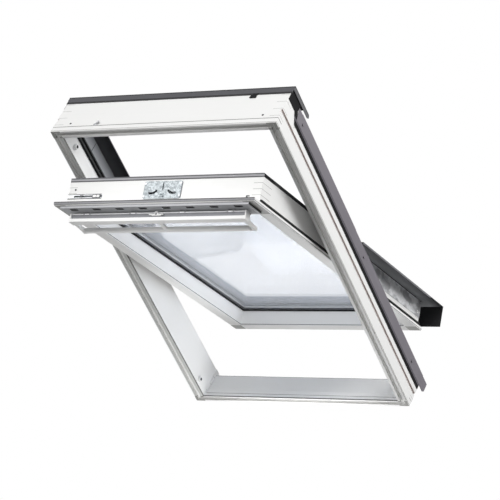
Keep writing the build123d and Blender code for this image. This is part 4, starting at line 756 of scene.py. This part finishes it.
screw = [
    (0, -3), (1.6, -3), (1.6, 0), (3.2, 0), (3.0, 1.0), (2.2, 1.7), (1.0, 1.9), (1.0, 0.9), (0, 0.9),
]
shape = bmesh.new()
turned_part(shape, screw, Matrix.Translation((-311, -516, 110)) @ out_of_face)
finish_piece("sash_face_screw", shape, sash, dark_zinc, "sash")

# %% [markdown]
# ### Stop of the barrel bolt
# A dark plate closes the inner end of the bolt's tray, and a bright rest for the thumb stands on it.

# %% Bolt stop
shape = bmesh.new()
rounded_block(shape, (-277, -517.9, 85.0), (-240, -516.8, 91.0), 0.4)
rounded_block(shape, (-245, -518.2, 81.6), (-217, -516.8, 94.4), 0.5)
rounded_block(shape, (-219, -518.2, 84.0), (-211, -516.8, 92.0), 0.5)
finish_piece("bolt_stop", shape, sash, dark_zinc, "sash")

shape = bmesh.new()
rounded_block(shape, (-242.5, -519.6, 84.0), (-232, -518.0, 92.0), 0.6)
rounded_block(shape, (-229.5, -519.2, 84.0), (-219.5, -518.0, 92.0), 0.5)
rounded_block(shape, (-234, -518.9, 86.5), (-227, -518.0, 89.5), 0.3)
finish_piece("bolt_thumb_rest", shape, sash, white_abs, "sash")

# %% [markdown]
# ### Hook on the ledge
# A small bent hook stands on the ledge near its right end: a foot, an upright and a tip turned to the
# side.

# %% Ledge hook
shape = bmesh.new()
rounded_block(shape, (309, -556, 53.8), (319, -547, 55.6), 0.5)
rounded_block(shape, (311, -555, 55), (314, -550, 63), 0.6)
rounded_block(shape, (311, -555, 61), (321, -550, 63.6), 0.6)
finish_piece("ledge_hook", shape, sash, dark_zinc, "sash")

# %% [markdown]
# ### Catch of the control bar
# The catch in the middle is a white loop on two feet. The loop is a round section spun through a little
# more than half a turn, and the feet are rounded blocks.

# %% Bar catch
LOOP_CENTRE = Vector((0, -526.6, 25.4))
LOOP_RADIUS, LOOP_WIRE, LOOP_SWEEP = 4.8, 2.0, 230.0
LOOP_STEPS, WIRE_SIDES = 28, 12
FEET_APART = 14
shape = bmesh.new()
ring = bmesh.ops.create_circle(
    shape, cap_ends=True, segments=WIRE_SIDES, radius=LOOP_WIRE,
    matrix=Matrix.Translation(LOOP_CENTRE + Vector((LOOP_RADIUS, 0, 0))),
)["verts"]
start = Matrix.Rotation(radians((LOOP_SWEEP - 180) / 2), 4, "Y")
bmesh.ops.rotate(shape, cent=LOOP_CENTRE, matrix=start, verts=ring)
bmesh.ops.spin(
    shape, geom=ring + shape.edges[:] + shape.faces[:],
    cent=LOOP_CENTRE, axis=(0, -1, 0), dvec=(0, 0, 0),
    angle=radians(LOOP_SWEEP), steps=LOOP_STEPS, use_merge=False, use_duplicate=False,
)
for x in (-FEET_APART, FEET_APART):
    rounded_block(shape, (x - 10, -529.5, 20.2), (x + 10, -524, 23.4), 0.9)
rounded_block(shape, (-16, -528, 18.6), (16, -521.5, 21), 0.8)
finish_piece("bar_catch", shape, sash, white_abs, "bar")

# %% [markdown]
# ### End brackets of the control bar
# At each end a moulded bracket caps the bar and its rail, and runs back to the grip with a waist. The
# arm starts as a block that is cut across into slices, and each slice is narrowed and lowered by how
# far along it lies. The brackets stand for the plain ones of the CAD model.

# %% Bar end brackets
ARM_START, ARM_END, ARM_DROP = -503.0, -447.5, 6.0
ARM_IN, ARM_OUT, ARM_SHIFT = 285.8, 300.5, 2.5
ARM_HEIGHT, ARM_MIDDLE, ARM_ROUNDING = 12.6, 8.5, 3
WAIST, WAIST_POWER = 0.5, 1.5
SLICES = 14


def lengthways(shape):
    """The edges that run along y, longer than a millimetre."""
    return [e for e in shape.edges if abs(e.verts[0].co.y - e.verts[1].co.y) > 1]


for way, name in ((-1, "left"), (1, "right")):
    shape = bmesh.new()
    corners = bmesh.ops.create_cube(shape, size=1)["verts"]
    centre = ((ARM_IN + ARM_OUT) / 2, (ARM_START + ARM_END) / 2, ARM_MIDDLE)
    bmesh.ops.scale(shape, vec=(ARM_OUT - ARM_IN, ARM_END - ARM_START, ARM_HEIGHT), verts=corners)
    bmesh.ops.translate(shape, vec=centre, verts=corners)
    bmesh.ops.bevel(
        shape, geom=lengthways(shape), offset=ARM_ROUNDING, affect="EDGES", segments=3, profile=0.5,
        material=-1,
    )
    bmesh.ops.subdivide_edges(shape, edges=lengthways(shape), cuts=SLICES, use_grid_fill=True)
    for point in shape.verts:
        along = (point.co.y - ARM_START) / (ARM_END - ARM_START)
        bend = max(0.0, sin(pi * along))
        narrow = 1 - WAIST * bend ** WAIST_POWER
        point.co.x = ARM_OUT - (ARM_OUT - point.co.x) * narrow - ARM_SHIFT * bend
        point.co.z -= ARM_DROP * along
    rounded_block(shape, (300, -527.5, 1.6), (304.5, -500.5, 30.5), 1.8)
    bmesh.ops.scale(shape, vec=(way, 1, 1), verts=shape.verts)
    bracket = finish_piece(f"bar_{name}_bracket", shape, sash, white_abs, "bar")
    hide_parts(f"bar_{name}_end")

# %% [markdown]
# ## Finish
# The scene is brought up to date once more.

# %% Update the scene
bpy.context.view_layer.update()
